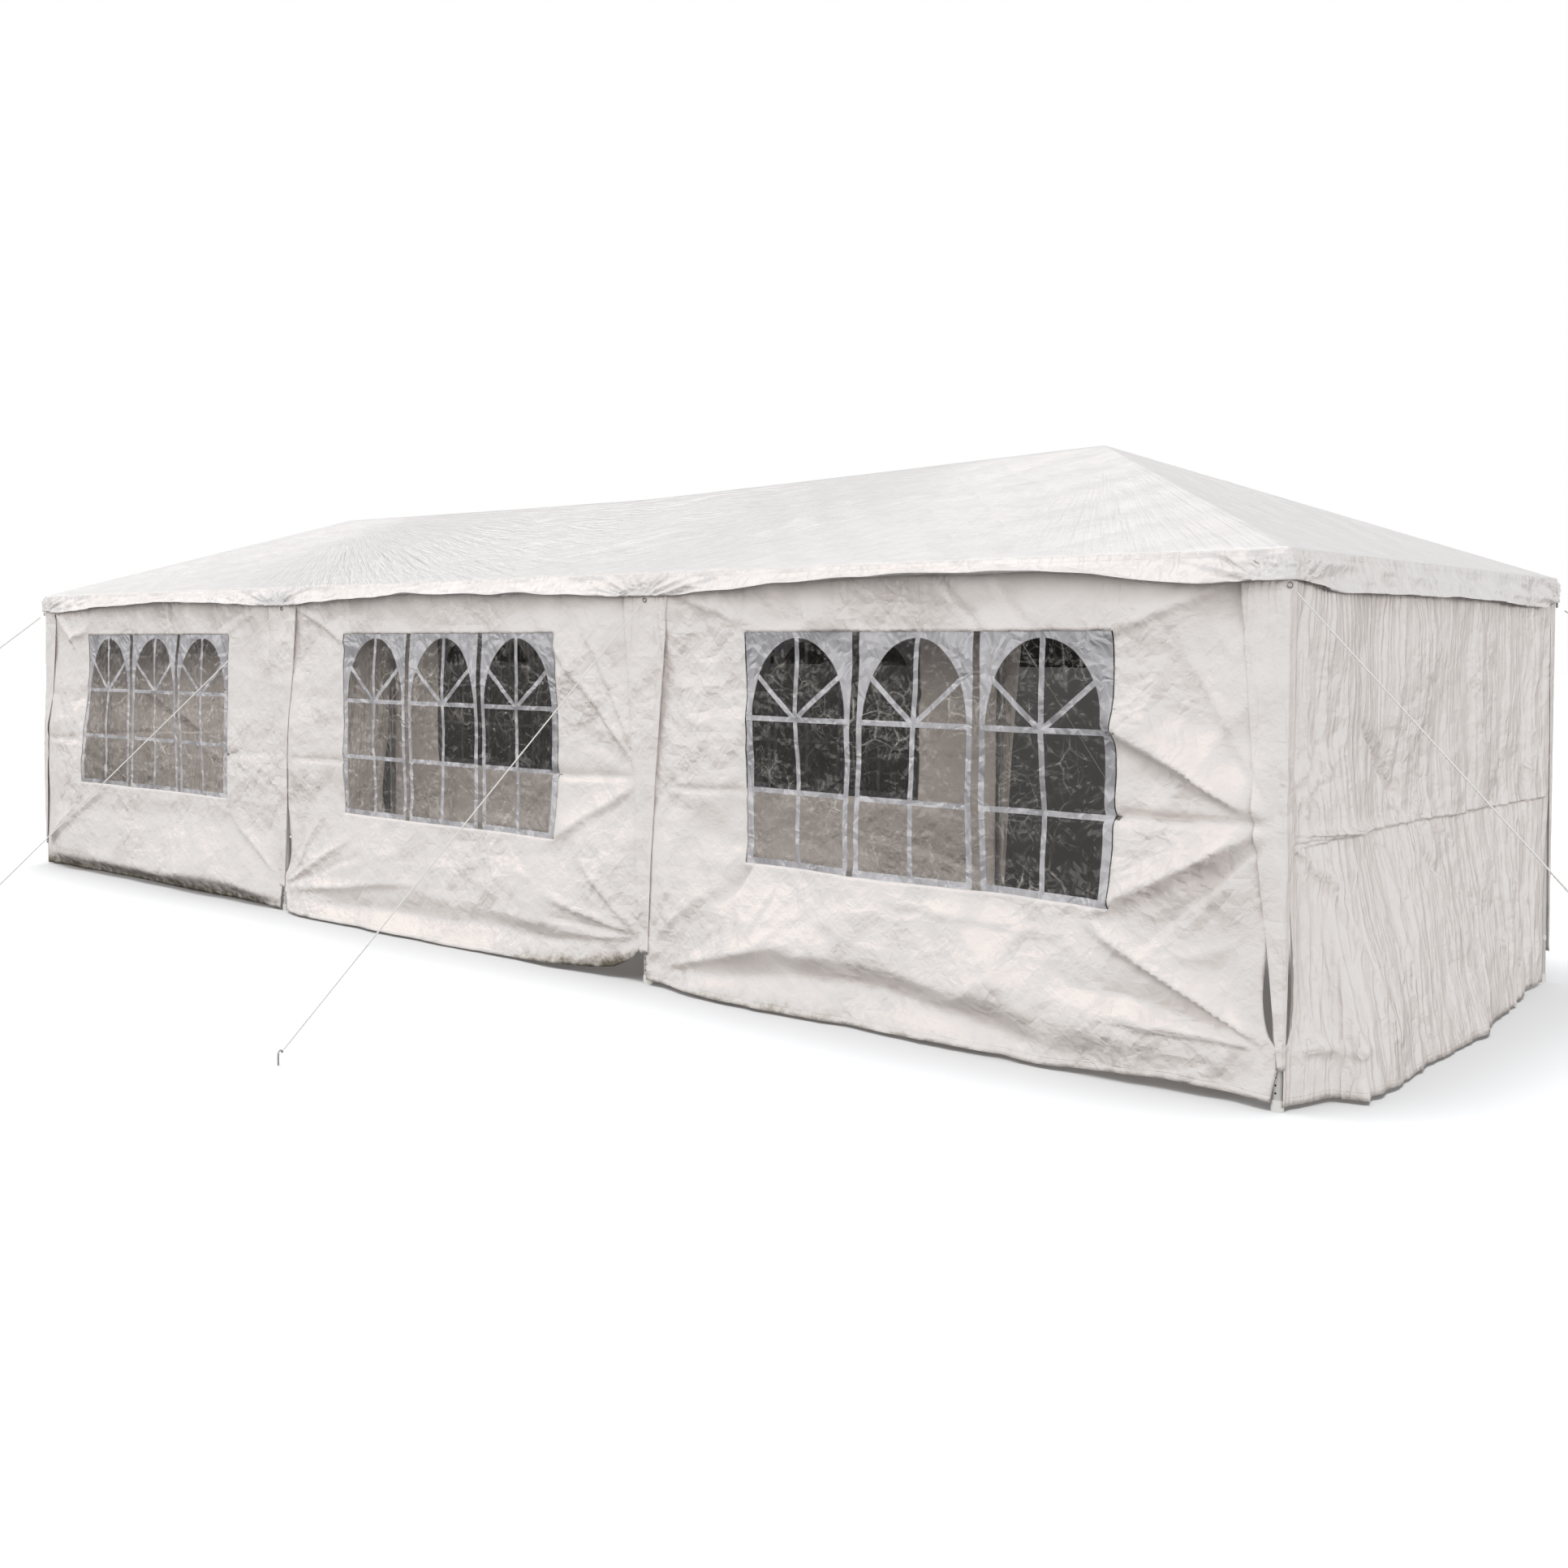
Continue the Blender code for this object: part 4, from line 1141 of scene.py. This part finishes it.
add_light("key_light", "SUN", 1.80, radians(65), (-6.0, -5.2, 6.2), tint=(1, 0.975, 0.955))
floor_only = bpy.data.collections.new("floor_lit_from_above")
floor_only.objects.link(floor)
floor_light = add_light("floor_light", "SUN", 5.0, radians(50), (0, 0, 9))
floor_light.light_linking.receiver_collection = floor_only
cloth_pieces = bpy.data.collections.new("cloth_lit_from_inside")
for item in bpy.context.scene.objects:
    if item.name.endswith("_cloth") or item.name.startswith("roof_slopes"):
        cloth_pieces.objects.link(item)
for middle in (-3, 0, 3):
    glow = add_light("glow_through_roof", "AREA", 38, 1.8, (middle, -0.2, 1.55), (middle, -0.1, 0),
                     (1, 0.93, 0.87))
    glow.visible_camera = False
    glow.visible_glossy = False
    glow.light_linking.receiver_collection = cloth_pieces
world = bpy.data.worlds.new("studio_surround")
world.use_nodes = True
bpy.context.scene.world = world
tree = world.node_tree
direction = Value(tree, tree.nodes.new("ShaderNodeTexCoord").outputs["Generated"])
to_right, to_back, height = direction.parts()
path = tree.nodes.new("ShaderNodeLightPath")
seen = Value(tree, path.outputs["Is Camera Ray"])
shade_through_sheet = Value(tree, path.outputs["Transparent Depth"]).math("MINIMUM", 1)
sky = 0.12 + height.rise(-0.02, 0.20) * 0.50
corner_way = (to_right * 0.91 - to_back * 0.41).rise(0.15, 0.95)
dome = sky + corner_way * (height.rise(-0.18, 0.0) - height.rise(0.1, 0.34)) * 3.7
# Camera rays that pass through a window sheet see a near-black surround: painted shade behind the
# windows.
strength = seen * (1 - shade_through_sheet * 0.99) + (1 - seen) * dome
tint = seen.blend((1, 0.965, 0.945, 1), (1, 1, 1, 1))
tree.links.new(tint.socket, tree.nodes["Background"].inputs["Color"])
tree.links.new(strength.socket, tree.nodes["Background"].inputs["Strength"])
view = bpy.context.scene.view_settings
view.view_transform = "Standard"
view.use_curve_mapping = True
view.curve_mapping.extend = "HORIZONTAL"
tone = view.curve_mapping.curves[3]
for point in ((0.05, 0.045), (0.30, 0.32), (0.50, 0.55), (0.60, 0.65), (0.68, 0.705),
              (0.78, 0.76), (0.88, 0.848)):
    tone.points.new(*point)
view.curve_mapping.update()

picture_side = 1932
focal_length = 1997.3
middle_across = 850
middle_down = 848.65
camera_place = (6.769, -6.872, 1.565)
camera_data = bpy.data.cameras.new("eye_height_camera")
camera_data.lens = 36 * focal_length / picture_side
camera_data.sensor_width = 36
camera_data.shift_x = (picture_side / 2 - middle_across) / picture_side
camera_data.shift_y = (middle_down - picture_side / 2) / picture_side
camera_data.clip_end = 400
camera = add_to_scene("eye_height_camera", camera_data)
azimuth, elevation, roll = radians(43.008), radians(-1.442), radians(0.269)
forward = Vector((-sin(azimuth) * cos(elevation), cos(azimuth) * cos(elevation), sin(elevation)))
right = forward.cross(Vector((0, 0, 1))).normalized()
upward = right.cross(forward)
rolled_right = right * cos(roll) + upward * sin(roll)
rolled_up = -right * sin(roll) + upward * cos(roll)
turned = Matrix((rolled_right, rolled_up, -forward)).transposed()
camera.matrix_world = Matrix.Translation(camera_place) @ turned.to_4x4()
bpy.context.scene.camera = camera

bpy.context.view_layer.update()
